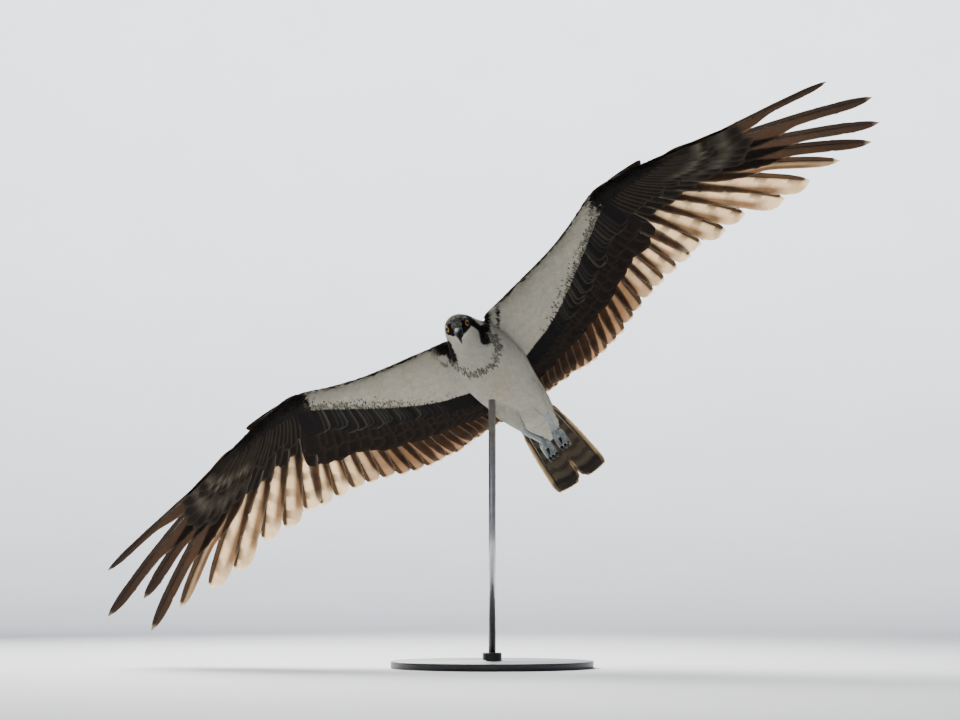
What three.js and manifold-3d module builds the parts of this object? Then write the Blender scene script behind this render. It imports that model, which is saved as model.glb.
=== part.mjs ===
// A life-size osprey in gliding flight, banked on a plain display stand.
// Millimetres, +Z up. The floor is at Z 0 and the stand's base is centred on the origin.
// The bird is modelled in its own frame: X towards the head, Y to its left, Z towards its back.
import * as THREE from "three";
import { mergeVertices } from "three/addons/utils/BufferGeometryUtils.js";
import Module from "manifold-3d";

const wasm = await Module();
wasm.setup();

// Driving dimensions
const GAP = 0.3; // between two nodes that touch
const BIRD_HEIGHT = 480; // the bird's origin above the floor
const HEADING_DEG = 124.2; // the way the head points in the front view, from the right, anticlockwise
const VIEW_TILT_DEG = 45; // how far the belly is turned from the front view towards the head
const VIEW_YAW_DEG = 3.1;
const VIEW_RISE_DEG = -3; // the front view looks up a little

const BASE_RADIUS = 170;
const BASE_THICKNESS = 12;
const BASE_CHAMFER = 1.5;
const ROD_RADIUS = 6;
const COLLAR_RADIUS = 16;
const COLLAR_HEIGHT = 14;
const SOCKET_DEPTH = 20; // how far the rod stands in the collar
const ROD_AIM = [58, 0, -8]; // the point of the bird that the rod's axis runs through

const VANE_HALF = 0.3; // half the thickness of a feather's vane
const SHAFT_HALF = 0.7; // half its thickness at the shaft of a flight feather
const SHINGLE_SLOPE = 0.13; // how far each vane is rolled, its leading edge up

// A smooth function through a few [position, value] keys.
function throughKeys(keys) {
  const last = keys.length - 1;
  const slope = (i) => {
    const [a, b] = [keys[Math.max(i - 1, 0)], keys[Math.min(i + 1, last)]];
    return (b[1] - a[1]) / (b[0] - a[0]);
  };
  return (x) => {
    if (x <= keys[0][0]) return keys[0][1];
    if (x >= keys[last][0]) return keys[last][1];
    const i = keys.findIndex((k) => x < k[0]) - 1;
    const [[x0, y0], [x1, y1]] = [keys[i], keys[i + 1]];
    const h = x1 - x0;
    const t = (x - x0) / h;
    const u = 1 - t;
    const ends = y0 * (1 + 2 * t) * u * u + y1 * (3 - 2 * t) * t * t;
    return ends + h * t * u * (slope(i) * u - slope(i + 1) * t);
  };
}

// Solids and meshes

function toSolid(geometry) {
  const bare = geometry.clone();
  bare.deleteAttribute("normal");
  bare.deleteAttribute("uv");
  const merged = mergeVertices(bare, 1e-4);
  return new wasm.Manifold(
    new wasm.Mesh({
      numProp: 3,
      vertProperties: merged.attributes.position.array,
      triVerts: new Uint32Array(merged.index.array),
    }),
  );
}

function toGeometry(solid) {
  const mesh = solid.getMesh();
  return new THREE.BufferGeometry()
    .setAttribute("position", new THREE.BufferAttribute(mesh.vertProperties, 3))
    .setIndex(new THREE.BufferAttribute(mesh.triVerts, 1));
}

// Joins the pieces of a node and keeps its largest closed surface.
function fuse(solids) {
  const bodies = wasm.Manifold.union(solids).decompose();
  bodies.sort((a, b) => b.volume() - a.volume());
  return bodies[0];
}

function geometryOf(points, faces) {
  return new THREE.BufferGeometry()
    .setAttribute("position", new THREE.Float32BufferAttribute(points.flatMap((p) => [p.x, p.y, p.z]), 3))
    .setIndex(faces);
}

// A closed skin over rings of points that all have the same number, capped flat at both ends.
function skinOver(rings) {
  const n = rings[0].length;
  const faces = [];
  for (let r = 0; r + 1 < rings.length; r++)
    for (let i = 0; i < n; i++) {
      const [a, b] = [r * n + i, r * n + ((i + 1) % n)];
      faces.push(a, b, b + n, a, b + n, a + n);
    }
  const points = rings.flat();
  const centre = (ring) => ring.reduce((sum, p) => sum.add(p), new THREE.Vector3()).divideScalar(n);
  const [first, end] = [points.length, points.length + 1];
  const base = (rings.length - 1) * n;
  for (let i = 0; i < n; i++) {
    const j = (i + 1) % n;
    faces.push(first, j, i);
    faces.push(end, base + i, base + j);
  }
  points.push(centre(rings[0]), centre(rings[rings.length - 1]));
  return toSolid(geometryOf(points, faces));
}

// An oval ring round a centre, a being half its width along side and b half its height along up.
function oval(centre, side, up, a, b, sides) {
  return Array.from({ length: sides }, (_, i) => {
    const turn = (2 * Math.PI * i) / sides;
    return centre
      .clone()
      .addScaledVector(side, a * Math.cos(turn))
      .addScaledVector(up, b * Math.sin(turn));
  });
}

// A limb along a smooth path through stations of [x, y, z, half width, half height].
// grow makes it thicker all round, for cutting its neighbours clear of it.
function limb(stations, sides, rings, sideways, grow = 0) {
  const path = new THREE.CatmullRomCurve3(stations.map((s) => new THREE.Vector3(s[0], s[1], s[2])));
  const width = throughKeys(stations.map((s, i) => [i, s[3]]));
  const height = throughKeys(stations.map((s, i) => [i, s[4]]));
  const made = [];
  for (let r = 0; r <= rings; r++) {
    const t = r / rings;
    const along = path.getTangent(t);
    const up = along.clone().cross(sideways).normalize();
    const side = up.clone().cross(along).normalize();
    const k = t * (stations.length - 1);
    const centre = path.getPoint(t);
    if (r === 0) centre.addScaledVector(along, -grow);
    if (r === rings) centre.addScaledVector(along, grow);
    made.push(oval(centre, side, up, width(k) + grow, height(k) + grow, sides));
  }
  return skinOver(made);
}

// A feather's vane as a thin plate. Each station is a row of points across it from edge to edge, and
// the plate is split into triangles alike above and below. halves gives half its thickness at each.
function plate(rows, halves) {
  const n = halves.length;
  const points = rows.flatMap((row) =>
    [1, -1].flatMap((face) => row.map((p, k) => new THREE.Vector3(p.x, p.y, p.z + face * halves[k]))),
  );
  const faces = [];
  const quad = (a, b, c, d) => faces.push(a, b, c, a, c, d);
  const end = (rows.length - 1) * 2 * n;
  for (let a = 0; a < end; a += 2 * n) {
    const b = a + 2 * n;
    for (let k = 0; k + 1 < n; k++) {
      quad(a + k, b + k, b + k + 1, a + k + 1);
      faces.push(a + n + k, b + n + k + 1, b + n + k);
      faces.push(a + n + k, a + n + k + 1, b + n + k + 1);
    }
    quad(a + n, b + n, b, a);
    quad(a + n - 1, b + n - 1, b + 2 * n - 1, a + 2 * n - 1);
  }
  for (let k = 0; k + 1 < n; k++) {
    quad(k, k + 1, n + k + 1, n + k);
    quad(end + n + k, end + n + k + 1, end + k + 1, end + k);
  }
  const solid = toSolid(geometryOf(points, faces));
  return solid.volume() > 0 ? solid : toSolid(geometryOf(points, faces.reverse()));
}

// A feather over a surface, from root to tip, both [x, y]. The bow carries its middle to the leading
// side. outer and inner are the widths of its two vanes and height its Z, each along its length.
function feather({ root, tip, bow = 0, outer, inner, height, roll = SHINGLE_SLOPE, steps, shaft = 0 }) {
  const [from, to] = [new THREE.Vector2(...root), new THREE.Vector2(...tip)];
  const leadOf = (along) => new THREE.Vector2(along.y, -along.x).normalize();
  const middle = from.clone().lerp(to, 0.5).addScaledVector(leadOf(to.clone().sub(from)), bow);
  const line = new THREE.QuadraticBezierCurve(from, middle, to);
  const rows = steps.map((t) => {
    const p = line.getPoint(t);
    const lead = leadOf(line.getTangent(t));
    const at = (shift) => {
      const q = p.clone().addScaledVector(lead, shift);
      return new THREE.Vector3(q.x, q.y, height(q.x, q.y, t) + roll * shift);
    };
    return shaft ? [at(outer(t)), at(0), at(-inner(t))] : [at(outer(t)), at(-inner(t))];
  });
  return plate(rows, shaft ? [VANE_HALF, shaft, VANE_HALF] : [VANE_HALF, VANE_HALF]);
}

// Wing, in terms of the left one

const wingLeading = throughKeys([[30, 132], [73, 137], [176, 142], [238, 158], [288, 182], [312, 190],
  [355, 186], [436, 173], [470, 166]]);
const fleshTrailing = throughKeys([[30, -16], [60, -6], [150, 20], [238, 76], [310, 132], [355, 146],
  [436, 155], [470, 160]]);
const fleshDepth = throughKeys([[30, 36], [73, 34], [150, 28], [238, 22], [310, 18], [355, 15], [436, 12],
  [470, 7]]);
const handSink = throughKeys([[310, 0], [436, -2.5], [470, -3]]);
const spanHeight = throughKeys([[0, 24], [73, 33], [176, 56], [310, 74], [436, 68], [555, 50], [680, 30],
  [785, 8]]);
const trailingX = throughKeys([[40, -78], [75, -80], [103, -84], [135, -92], [170, -95], [214, -92],
  [264, -76], [320, -63], [381, -52]]);
const WING_INCIDENCE = 0.08; // the slope of the chord, its leading edge up
const WING_CAMBER = 12; // how far the chord's ends droop
const FLESH_STATIONS = [30, 60, 95, 135, 176, 215, 250, 285, 312, 345, 380, 415, 445, 468];
const FLESH_SIDES = 10;

// The height of the wing's middle surface.
function wingHeight(x, y) {
  return spanHeight(y) + WING_INCIDENCE * (x - 100) - WING_CAMBER * ((x - 60) / 130) ** 2;
}

function wingFlesh() {
  const rings = FLESH_STATIONS.map((y) => {
    const [front, back] = [wingLeading(y), fleshTrailing(y)];
    return Array.from({ length: FLESH_SIDES }, (_, i) => {
      const turn = (2 * Math.PI * i) / FLESH_SIDES;
      const x = (front + back) / 2 + ((front - back) / 2) * Math.cos(turn);
      const half = (fleshDepth(y) / 2) * (1 + 0.3 * Math.cos(turn));
      return new THREE.Vector3(x, y, wingHeight(x, y) + handSink(y) + half * Math.sin(turn));
    });
  });
  return skinOver(rings.reverse());
}

// Tips of the primaries, from the one by the wrist to the one at the leading edge, as [x, y].
const PRIMARY_TIPS = [[-41, 408], [-42, 455], [-31, 498], [-39, 568], [-31, 620], [-26, 680], [-22, 741],
  [5, 769], [58, 780], [133, 729]];
const SHORT_PRIMARY = { number: 8, tip: [36, 716] }; // a growing feather, on the right wing only
const FIRST_FINGER = 6; // from here on the primaries narrow to a finger
const PRIMARY_STACK = -0.55; // each primary lies below the one nearer the body
const SECONDARIES = 18; // tertials among them
const secondaryRootY = throughKeys([[1, 302], [5, 248], [10, 186], [14, 134], [18, 68]]);
const secondaryTipY = throughKeys([[1, 381], [5, 264], [9, 170], [13, 103], [18, 40]]);

const fullVane = throughKeys([[0, 0.12], [0.15, 0.62], [0.4, 1], [0.88, 0.92], [1, 0.4]]);
const fingerVane = throughKeys([[0, 0.12], [0.15, 0.62], [0.38, 1], [0.53, 0.84], [0.64, 0.5],
  [0.93, 0.36], [1, 0.1]]);
const narrowVane = throughKeys([[0, 0.3], [0.2, 1], [0.88, 0.9], [1, 0.3]]);
const FLIGHT_STEPS = [0, 0.3, 0.88, 1];
const FINGER_STEPS = [0, 0.38, 0.53, 0.64, 0.93, 1];
const COVERT_STEPS = [0, 0.85, 1];

function handRoot(number) {
  const y = 314 + 13.2 * (number - 1);
  return [THREE.MathUtils.lerp(fleshTrailing(y), wingLeading(y), 0.34), y];
}

function secondaryRoot(number) {
  const y = secondaryRootY(number);
  return [fleshTrailing(y) + 12, y];
}

function secondaryTip(number) {
  const y = secondaryTipY(number);
  return [trailingX(y), y];
}

function count(length) {
  return Array.from({ length }, (_, i) => i + 1);
}

function primaryTips(side) {
  const tips = [...PRIMARY_TIPS];
  if (side < 0) tips[SHORT_PRIMARY.number - 1] = SHORT_PRIMARY.tip;
  return tips;
}

function primaries(side) {
  return primaryTips(side).map((tip, index) => {
    const number = index + 1;
    const finger = number >= FIRST_FINGER;
    const outerWidth = number === 10 ? 6 : 9;
    const innerWidth = number === 10 ? 21 : 29;
    const lift = finger ? 4 + 3 * (number - FIRST_FINGER) : 0;
    return feather({
      root: handRoot(number),
      tip,
      bow: 3 + number * 0.6,
      outer: (t) => outerWidth * narrowVane(t),
      inner: (t) => innerWidth * (finger ? fingerVane(t) : fullVane(t)),
      height: (x, y, t) => wingHeight(x, y) + PRIMARY_STACK * index + lift * t * t,
      steps: finger ? FINGER_STEPS : FLIGHT_STEPS,
      shaft: SHAFT_HALF,
    });
  });
}

function secondaries() {
  return count(SECONDARIES).map((number) =>
    feather({
      root: secondaryRoot(number),
      tip: secondaryTip(number),
      bow: 4,
      outer: (t) => 10 * narrowVane(t),
      inner: (t) => 21 * fullVane(t),
      height: wingHeight,
      steps: FLIGHT_STEPS,
    }),
  );
}

// One tier of coverts over the flight feathers, above them at a positive offset and below at a
// negative one. share is how far they reach along the flight feathers.
function covertTier({ roots, tips, share, ahead, width, offset, stack = 0 }) {
  return roots.map((root, i) =>
    feather({
      root: [root[0] + ahead, root[1]],
      tip: [0, 1].map((k) => THREE.MathUtils.lerp(root[k], tips[i][k], share)),
      outer: (t) => 0.4 * width * narrowVane(t),
      inner: (t) => 0.6 * width * narrowVane(t),
      height: (x, y, t) => wingHeight(x, y) + stack * i + offset * (0.6 + 0.4 * Math.min(4 * t, 1)),
      steps: COVERT_STEPS,
    }),
  );
}

function coverts() {
  const arm = { roots: count(SECONDARIES).map(secondaryRoot), tips: count(SECONDARIES).map(secondaryTip) };
  const hand = { roots: PRIMARY_TIPS.map((_, i) => handRoot(i + 1)), tips: PRIMARY_TIPS };
  const armWay = { ...arm, share: 0.5, ahead: 16, width: 22 };
  const handWay = { ...hand, share: 0.36, ahead: 4, width: 18, stack: PRIMARY_STACK };
  return [
    ...covertTier({ ...armWay, offset: 4.2 }),
    ...covertTier({ ...armWay, offset: -6 }),
    ...covertTier({ ...handWay, offset: 3.4 }),
    ...covertTier({ ...handWay, offset: -5 }),
  ];
}

// The small feathers of the thumb, along the leading edge of the hand.
function alula() {
  return count(3).map((number) =>
    feather({
      root: [180 - 4 * number, 322],
      tip: [183 - 9 * number, 404 - 14 * number],
      outer: (t) => 4 * narrowVane(t),
      inner: (t) => 11 * narrowVane(t),
      height: (x, y) => wingHeight(x, y) + 7 - 1.2 * number,
      steps: COVERT_STEPS,
    }),
  );
}

function wing(side) {
  const left = fuse([wingFlesh(), ...primaries(side), ...secondaries(), ...coverts(), ...alula()]);
  const placedWing = side > 0 ? left : left.mirror([0, 1, 0]);
  return fuse([placedWing.subtract(trunk(GAP))]);
}

// Trunk: torso and neck, from the rump to the nape, as [x, y, z, half width, half height]

const TRUNK = [
  [-124, 7, 5, 34, 11],
  [-90, 6, 2, 41, 24],
  [-48, 4, -3, 46, 37],
  [0, 1, -6, 53, 46],
  [46, 0, -7, 58, 50],
  [90, -1, -5, 55, 46],
  [124, -3, 1, 44, 39],
  [149, -5, 5, 33, 31],
  [168, -6, 2, 25, 25],
  [180, -5, -3, 19, 19],
];
const SIDEWAYS = new THREE.Vector3(0, 1, 0);
const NECK_BASE_X = 132;
const FAR = 600; // larger than the bird in any direction

function trunk(grow = 0) {
  return limb(TRUNK, 20, 16, SIDEWAYS, grow);
}

function halfSpace(x, ahead) {
  return toSolid(new THREE.BoxGeometry(FAR, FAR, FAR)).translate([x + (ahead * FAR) / 2, 0, 0]);
}

// Head, in its own frame: X towards the bill, Y to its left, Z to the crown, from between the eyes

const HEAD_PLACE = [187.3, -4.7, -10.5];
const HEAD_FORWARD = [0.55, -0.058, -0.833];
const HEAD_UP = [0.811, 0.273, 0.517];
const HEAD = [
  [-38, 0, -9, 9, 8],
  [-32, 0, -8, 16, 15],
  [-21, 0, -6, 21.5, 18.5],
  [-8, 0, -4.5, 22.3, 19.8],
  [4, 0, -4.5, 19.5, 17.5],
  [13, 0, -6.5, 14, 13],
  [19, 0, -8, 10, 10.5],
];
const EYE_RADIUS = 6.8;
const EYE_PLACE = [4, 13.2, 0];
const EYE_OUTWARD = [0.42, 0.9, 0.05];

function headMatrix() {
  const forward = new THREE.Vector3(...HEAD_FORWARD).normalize();
  const left = new THREE.Vector3(...HEAD_UP).cross(forward).normalize();
  const crown = forward.clone().cross(left);
  return new THREE.Matrix4().makeBasis(forward, left, crown).setPosition(...HEAD_PLACE);
}

function onHead(solid) {
  return solid.transform(headMatrix().elements);
}

function eyeball(side, grow = 0) {
  const ball = toSolid(new THREE.SphereGeometry(EYE_RADIUS + grow, 12, 8));
  return ball.translate([EYE_PLACE[0], side * EYE_PLACE[1], EYE_PLACE[2]]);
}

// The rim of the two lids round an open eye.
function eyelid(side) {
  const ring = toSolid(new THREE.TorusGeometry(EYE_RADIUS * 0.9, 1.5, 5, 12));
  const outward = new THREE.Vector3(EYE_OUTWARD[0], side * EYE_OUTWARD[1], EYE_OUTWARD[2]).normalize();
  const centre = new THREE.Vector3(EYE_PLACE[0], side * EYE_PLACE[1], EYE_PLACE[2]);
  centre.addScaledVector(outward, EYE_RADIUS * 0.5);
  const turn = new THREE.Quaternion().setFromUnitVectors(new THREE.Vector3(0, 0, 1), outward);
  return ring.transform(new THREE.Matrix4().compose(centre, turn, new THREE.Vector3(1, 1, 1)).elements);
}

function brow(side) {
  const path = [[-7, side * 16, 6.5, 2.2, 2.2], [4, side * 15.8, 7.2, 2.7, 2.4], [12.5, side * 10.8, 4, 1.8, 1.8]];
  return limb(path, 6, 4, new THREE.Vector3(0, 0, 1));
}

function skull(grow = 0) {
  return limb(HEAD, 16, 11, SIDEWAYS, grow);
}

function head() {
  const whole = wasm.Manifold.union([skull(), eyelid(1), eyelid(-1), brow(1), brow(-1)]);
  const seats = [eyeball(1, GAP), eyeball(-1, GAP), upperBillForm(GAP), lowerBillForm(GAP)];
  return fuse([whole.subtract(wasm.Manifold.union(seats))]);
}

// Bill, from its base to its tip, in the head's frame, as [x, y, z, half width, half height]

const UPPER_BILL = [
  [7, 0, -6.5, 8.5, 7.3],
  [16.5, 0, -6, 8.2, 7.3],
  [25, 0, -7, 6.9, 6.4],
  [32, 0, -9.3, 5.1, 5.1],
  [37.5, 0, -13.4, 3.3, 3.6],
  [39.5, 0, -18.5, 1.8, 2],
  [38.6, 0, -23.4, 0.6, 0.6],
];
const LOWER_BILL = [
  [7, 0, -14, 7, 3.2],
  [16.5, 0, -14.2, 6.4, 3],
  [25, 0, -14.7, 5, 2.6],
  [30.5, 0, -15.6, 2.7, 1.7],
];
const NOSTRIL = { place: [22, 6.9, -5], radius: 1.2, depth: 3 };

function upperBillForm(grow = 0) {
  return limb(UPPER_BILL, 12, 10, SIDEWAYS, grow);
}

function lowerBillForm(grow = 0) {
  return limb(LOWER_BILL, 10, 6, SIDEWAYS, grow);
}

function upperBill() {
  const [x, y, z] = NOSTRIL.place;
  const bore = toSolid(new THREE.CylinderGeometry(NOSTRIL.radius, NOSTRIL.radius, NOSTRIL.depth, 8));
  const pits = [1, -1].map((side) => bore.translate([x, side * y, z]));
  return fuse([upperBillForm().subtract(wasm.Manifold.union(pits))]);
}

function lowerBill() {
  return fuse([lowerBillForm().subtract(upperBillForm(GAP))]);
}

// Tail

const TAIL_FEATHERS = 6; // in each half
const TAIL_TIP_X = -319;
const TAIL_MIDDLE_Y = 8; // the tail is carried a little to the left
const TAIL_STACK = -0.75; // each tail feather lies below the one nearer the middle
const TAIL_ROOT = [
  [-112, 7, 6, 33, 10],
  [-132, 8, 6, 33, 8],
  [-158, 8, 5, 27, 4.5],
];
const TAIL_COVERTS = 4; // in each half of each tier

function tailFeathers() {
  return count(TAIL_FEATHERS).map((number) => {
    const out = (number - 1) / (TAIL_FEATHERS - 1);
    return feather({
      root: [-112, 2 + 27 * out],
      tip: [TAIL_TIP_X + 10 * out * out + (number === 1 ? 8 : 0), 8 + 37.5 * out],
      outer: (t) => (11.5 - 2 * out) * narrowVane(t),
      inner: (t) => (8 + 13 * out) * narrowVane(t),
      height: (x, y) => 7 + TAIL_STACK * (number - 1) - 3 * (y / 50) ** 2,
      roll: 0.07,
      steps: FLIGHT_STEPS,
    });
  });
}

function tailCoverts(offset, reach) {
  return count(TAIL_COVERTS).map((number) => {
    const out = (number - 0.5) / TAIL_COVERTS;
    return feather({
      root: [-118, 2 + 25 * out],
      tip: [-118 - reach * (1 - 0.3 * out * out), 3 + 30 * out],
      outer: (t) => 7 * narrowVane(t),
      inner: (t) => 7 * narrowVane(t),
      height: () => 6 + offset - 0.8 * number,
      roll: 0,
      steps: COVERT_STEPS,
    });
  });
}

function tail() {
  const half = [...tailFeathers(), ...tailCoverts(5.5, 62), ...tailCoverts(-5, 74)];
  const other = half.map((solid) => solid.mirror([0, 1, 0]));
  const fan = [...half, ...other].map((solid) => solid.translate([0, TAIL_MIDDLE_Y, 0]));
  const root = limb(TAIL_ROOT, 14, 4, SIDEWAYS);
  return fuse([fuse([root, ...fan]).subtract(trunk(GAP))]);
}

// Legs, drawn back under the tail: Y for each side, and how much further back the foot lies

const LEGS = {
  left: { hip: 30, heel: 27, foot: 23, reach: -6 },
  right: { hip: -27, heel: -19, foot: -5, reach: 0 },
};

function thighForm({ hip, heel }, grow = 0) {
  const knee = (hip + heel) / 2;
  const path = [[16, hip, -34, 13, 11], [-8, hip, -39, 18, 15], [-34, knee, -46, 14, 12],
    [-62, heel, -52, 7.5, 7.5]];
  return limb(path, 12, 8, SIDEWAYS, grow);
}

function shankForm({ heel, foot, reach }, grow = 0) {
  const middle = (heel + foot) / 2;
  const path = [[-56, heel, -51, 5.6, 5.6], [-72, heel, -53, 5.4, 5.4], [-93, middle, -53, 5, 5],
    [-114 - reach, foot, -51, 6, 6]];
  return limb(path, 8, 6, SIDEWAYS, grow);
}

// The toes from the ball of the foot, and their claws, in the foot's own place, as [x, y, z, a, b].
function toePaths() {
  const front = [-6.5, 0, 6.5].map((y) => [
    [-2, y * 0.5, 0, 5, 5],
    [-14, y, 1, 4.4, 4.4],
    [-25, y * 1.1, -6, 4, 4],
    [-27, y * 1.1, -15, 3.6, 3.6],
  ]);
  const back = [[2, 0, -3, 4.6, 4.6], [2, 0, -12, 4.2, 4.2], [-1, 0, -19, 3.6, 3.6]];
  return { one: front[0], two: front[1], three: front[2], back };
}

function clawPaths() {
  const front = [-6.5, 0, 6.5].map((y) => [
    [-27.5, y * 1.1, -13, 2.6, 2.6],
    [-25.5, y * 1.15, -22, 2.3, 2.3],
    [-19, y * 1.15, -29, 1.4, 1.4],
    [-11, y * 1.15, -31, 0.5, 0.5],
  ]);
  const back = [[-1, 0, -17, 2.6, 2.6], [-4, -1, -24, 2.1, 2.1], [-7, -2, -27.5, 1.1, 1.1],
    [-9, -2.5, -28.5, 0.5, 0.5]];
  return { one: front[0], two: front[1], three: front[2], back };
}

const SOLE = { x: -118, z: -51, radius: 7 };

function inFoot(solid, { foot, reach }) {
  return solid.translate([SOLE.x - reach, foot, SOLE.z]);
}

function clawForm(path, way, grow = 0) {
  return inFoot(limb(path, 6, 4, SIDEWAYS, grow), way);
}

function footForm(way) {
  const toes = Object.values(toePaths()).map((path) => inFoot(limb(path, 6, 4, SIDEWAYS), way));
  const ball = inFoot(toSolid(new THREE.SphereGeometry(SOLE.radius, 8, 6)), way);
  const claws = Object.values(clawPaths()).map((path) => clawForm(path, way, GAP));
  return fuse([fuse([ball, ...toes]).subtract(wasm.Manifold.union([...claws, shankForm(way, GAP)]))]);
}

// Stand

function standBase() {
  const [top, collarTop, bore] = [BASE_THICKNESS, BASE_THICKNESS + COLLAR_HEIGHT, ROD_RADIUS + GAP];
  const profile = [
    [0, 0],
    [BASE_RADIUS, 0],
    [BASE_RADIUS, top - BASE_CHAMFER],
    [BASE_RADIUS - BASE_CHAMFER, top],
    [COLLAR_RADIUS, top],
    [COLLAR_RADIUS, collarTop - BASE_CHAMFER],
    [COLLAR_RADIUS - BASE_CHAMFER, collarTop],
    [bore, collarTop],
    [bore, collarTop - SOCKET_DEPTH],
    [0, collarTop - SOCKET_DEPTH],
  ];
  return toSolid(new THREE.LatheGeometry(profile.map((p) => new THREE.Vector2(...p)), 36))
    .rotate([90, 0, 0]);
}

function standRod(birdInPlace) {
  const bottom = BASE_THICKNESS + COLLAR_HEIGHT - SOCKET_DEPTH + GAP;
  const length = BIRD_HEIGHT - bottom;
  const rod = toSolid(new THREE.CylinderGeometry(ROD_RADIUS, ROD_RADIUS, length, 24)).rotate([90, 0, 0]);
  return fuse([rod.translate([0, 0, bottom + length / 2]).subtract(birdInPlace)]);
}

// The bird's frame in the part's: it is set so that the front view shows its belly, banked.
function birdMatrix() {
  const rad = THREE.MathUtils.degToRad;
  const [heading, tilt, yaw, rise] = [HEADING_DEG, VIEW_TILT_DEG, VIEW_YAW_DEG, VIEW_RISE_DEG].map(rad);
  const mix = (a, u, b, v) => a.clone().multiplyScalar(u).addScaledVector(b, v);
  const ahead = new THREE.Vector3(Math.cos(tilt), 0, Math.sin(tilt));
  const below = SIDEWAYS.clone().cross(ahead);
  const near = mix(below, Math.cos(yaw), SIDEWAYS, Math.sin(yaw));
  const left = mix(SIDEWAYS, Math.cos(yaw), below, -Math.sin(yaw));
  const right = mix(ahead, Math.cos(heading), left, Math.sin(heading));
  const up = mix(ahead, Math.sin(heading), left, -Math.cos(heading));
  const seen = new THREE.Matrix4().makeBasis(right, up, near).transpose();
  const view = new THREE.Matrix4().makeBasis(
    new THREE.Vector3(1, 0, 0),
    new THREE.Vector3(0, Math.sin(rise), Math.cos(rise)),
    new THREE.Vector3(0, -Math.cos(rise), Math.sin(rise)),
  );
  const turn = view.multiply(seen);
  const aim = new THREE.Vector3(...ROD_AIM).applyMatrix4(turn);
  return turn.setPosition(-aim.x, -aim.y, BIRD_HEIGHT);
}

// The nodes and their colours

const COLORS = {
  white: 0xe9e4d6,
  wing: 0x5a463a,
  tail: 0x4a3c30,
  eye: 0xe0b020,
  bill: 0x1c1c20,
  shank: 0xb9c0bd,
  claw: 0x141416,
  base: 0x2b2b2d,
  rod: 0x9a9a9c,
};

const model = new THREE.Group();
const bird = new THREE.Group();
birdMatrix().decompose(bird.position, bird.quaternion, bird.scale);
model.add(bird);

function addNode(parent, name, solid, color, roughness = 0.7, metalness = 0) {
  const material = new THREE.MeshStandardMaterial({ color: COLORS[color], roughness, metalness });
  const mesh = new THREE.Mesh(toGeometry(solid), material);
  mesh.name = name;
  parent.add(mesh);
}

function addLeg(name, way) {
  const thigh = thighForm(way).subtract(trunk(GAP));
  addNode(bird, `thigh_${name}`, fuse([thigh]), "white");
  addNode(bird, `shank_${name}`, fuse([shankForm(way).subtract(thighForm(way, GAP))]), "shank");
  addNode(bird, `foot_${name}`, footForm(way), "shank");
  for (const [toe, path] of Object.entries(clawPaths()))
    addNode(bird, `claw_${name}_${toe}`, clawForm(path, way), "claw", 0.35);
}

const neckSeats = wasm.Manifold.union([onHead(skull(GAP)), halfSpace(NECK_BASE_X + GAP / 2, -1)]);
addNode(bird, "torso", fuse([trunk().subtract(halfSpace(NECK_BASE_X - GAP / 2, 1))]), "white");
addNode(bird, "neck", fuse([trunk().subtract(neckSeats)]), "white");
addNode(bird, "head", onHead(head()), "white");
addNode(bird, "bill_upper", onHead(upperBill()), "bill", 0.3);
addNode(bird, "bill_lower", onHead(lowerBill()), "bill", 0.3);
addNode(bird, "eye_left", onHead(eyeball(1)), "eye", 0.1);
addNode(bird, "eye_right", onHead(eyeball(-1)), "eye", 0.1);
addNode(bird, "wing_left", wing(1), "wing");
addNode(bird, "wing_right", wing(-1), "wing");
addNode(bird, "tail", tail(), "tail");
addLeg("left", LEGS.left);
addLeg("right", LEGS.right);
addNode(model, "stand_base", standBase(), "base", 0.5, 0.2);
addNode(model, "stand_rod", standRod(trunk(GAP).transform(birdMatrix().elements)), "rod", 0.35, 1);

export default model;
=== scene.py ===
"""A life-size osprey in gliding flight, banked on a plain display stand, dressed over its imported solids.

Sizes of the bird are in millimetres in its own frame: X towards the head, Y to its left, Z towards its
back. One matrix takes them to the part's frame, in metres.
"""

import itertools
import math

import bpy
import numpy as np
from mathutils import Matrix, Vector
from mathutils.bvhtree import BVHTree


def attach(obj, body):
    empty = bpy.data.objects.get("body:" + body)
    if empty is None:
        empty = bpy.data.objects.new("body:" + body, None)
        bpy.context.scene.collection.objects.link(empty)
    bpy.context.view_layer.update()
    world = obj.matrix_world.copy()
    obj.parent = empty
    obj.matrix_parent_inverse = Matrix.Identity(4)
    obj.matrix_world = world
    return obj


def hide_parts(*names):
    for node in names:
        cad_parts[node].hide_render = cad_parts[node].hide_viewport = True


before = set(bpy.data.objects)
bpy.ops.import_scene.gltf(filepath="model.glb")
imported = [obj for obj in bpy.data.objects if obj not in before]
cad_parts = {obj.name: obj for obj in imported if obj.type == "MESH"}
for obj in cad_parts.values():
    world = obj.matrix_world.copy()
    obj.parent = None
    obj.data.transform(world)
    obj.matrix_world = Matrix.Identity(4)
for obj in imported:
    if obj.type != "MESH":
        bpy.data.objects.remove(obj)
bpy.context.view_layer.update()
RNG = np.random.default_rng(7)

# The bird's place, as in the solids

BIRD_HEIGHT = 480
HEADING_DEG = 124.2
VIEW_TILT_DEG = 45
VIEW_YAW_DEG = 3.1
VIEW_RISE_DEG = -3
ROD_AIM = (58, 0, -8)


def unit(v):
    v = np.asarray(v, float)
    return v / np.linalg.norm(v, axis=-1, keepdims=True)


def view_axes():
    """The front view's right, up and near, in the part's frame."""
    rise = math.radians(VIEW_RISE_DEG)
    right = np.array([1.0, 0, 0])
    up = np.array([0, math.sin(rise), math.cos(rise)])
    near = np.array([0, -math.cos(rise), math.sin(rise)])
    return right, up, near


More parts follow.
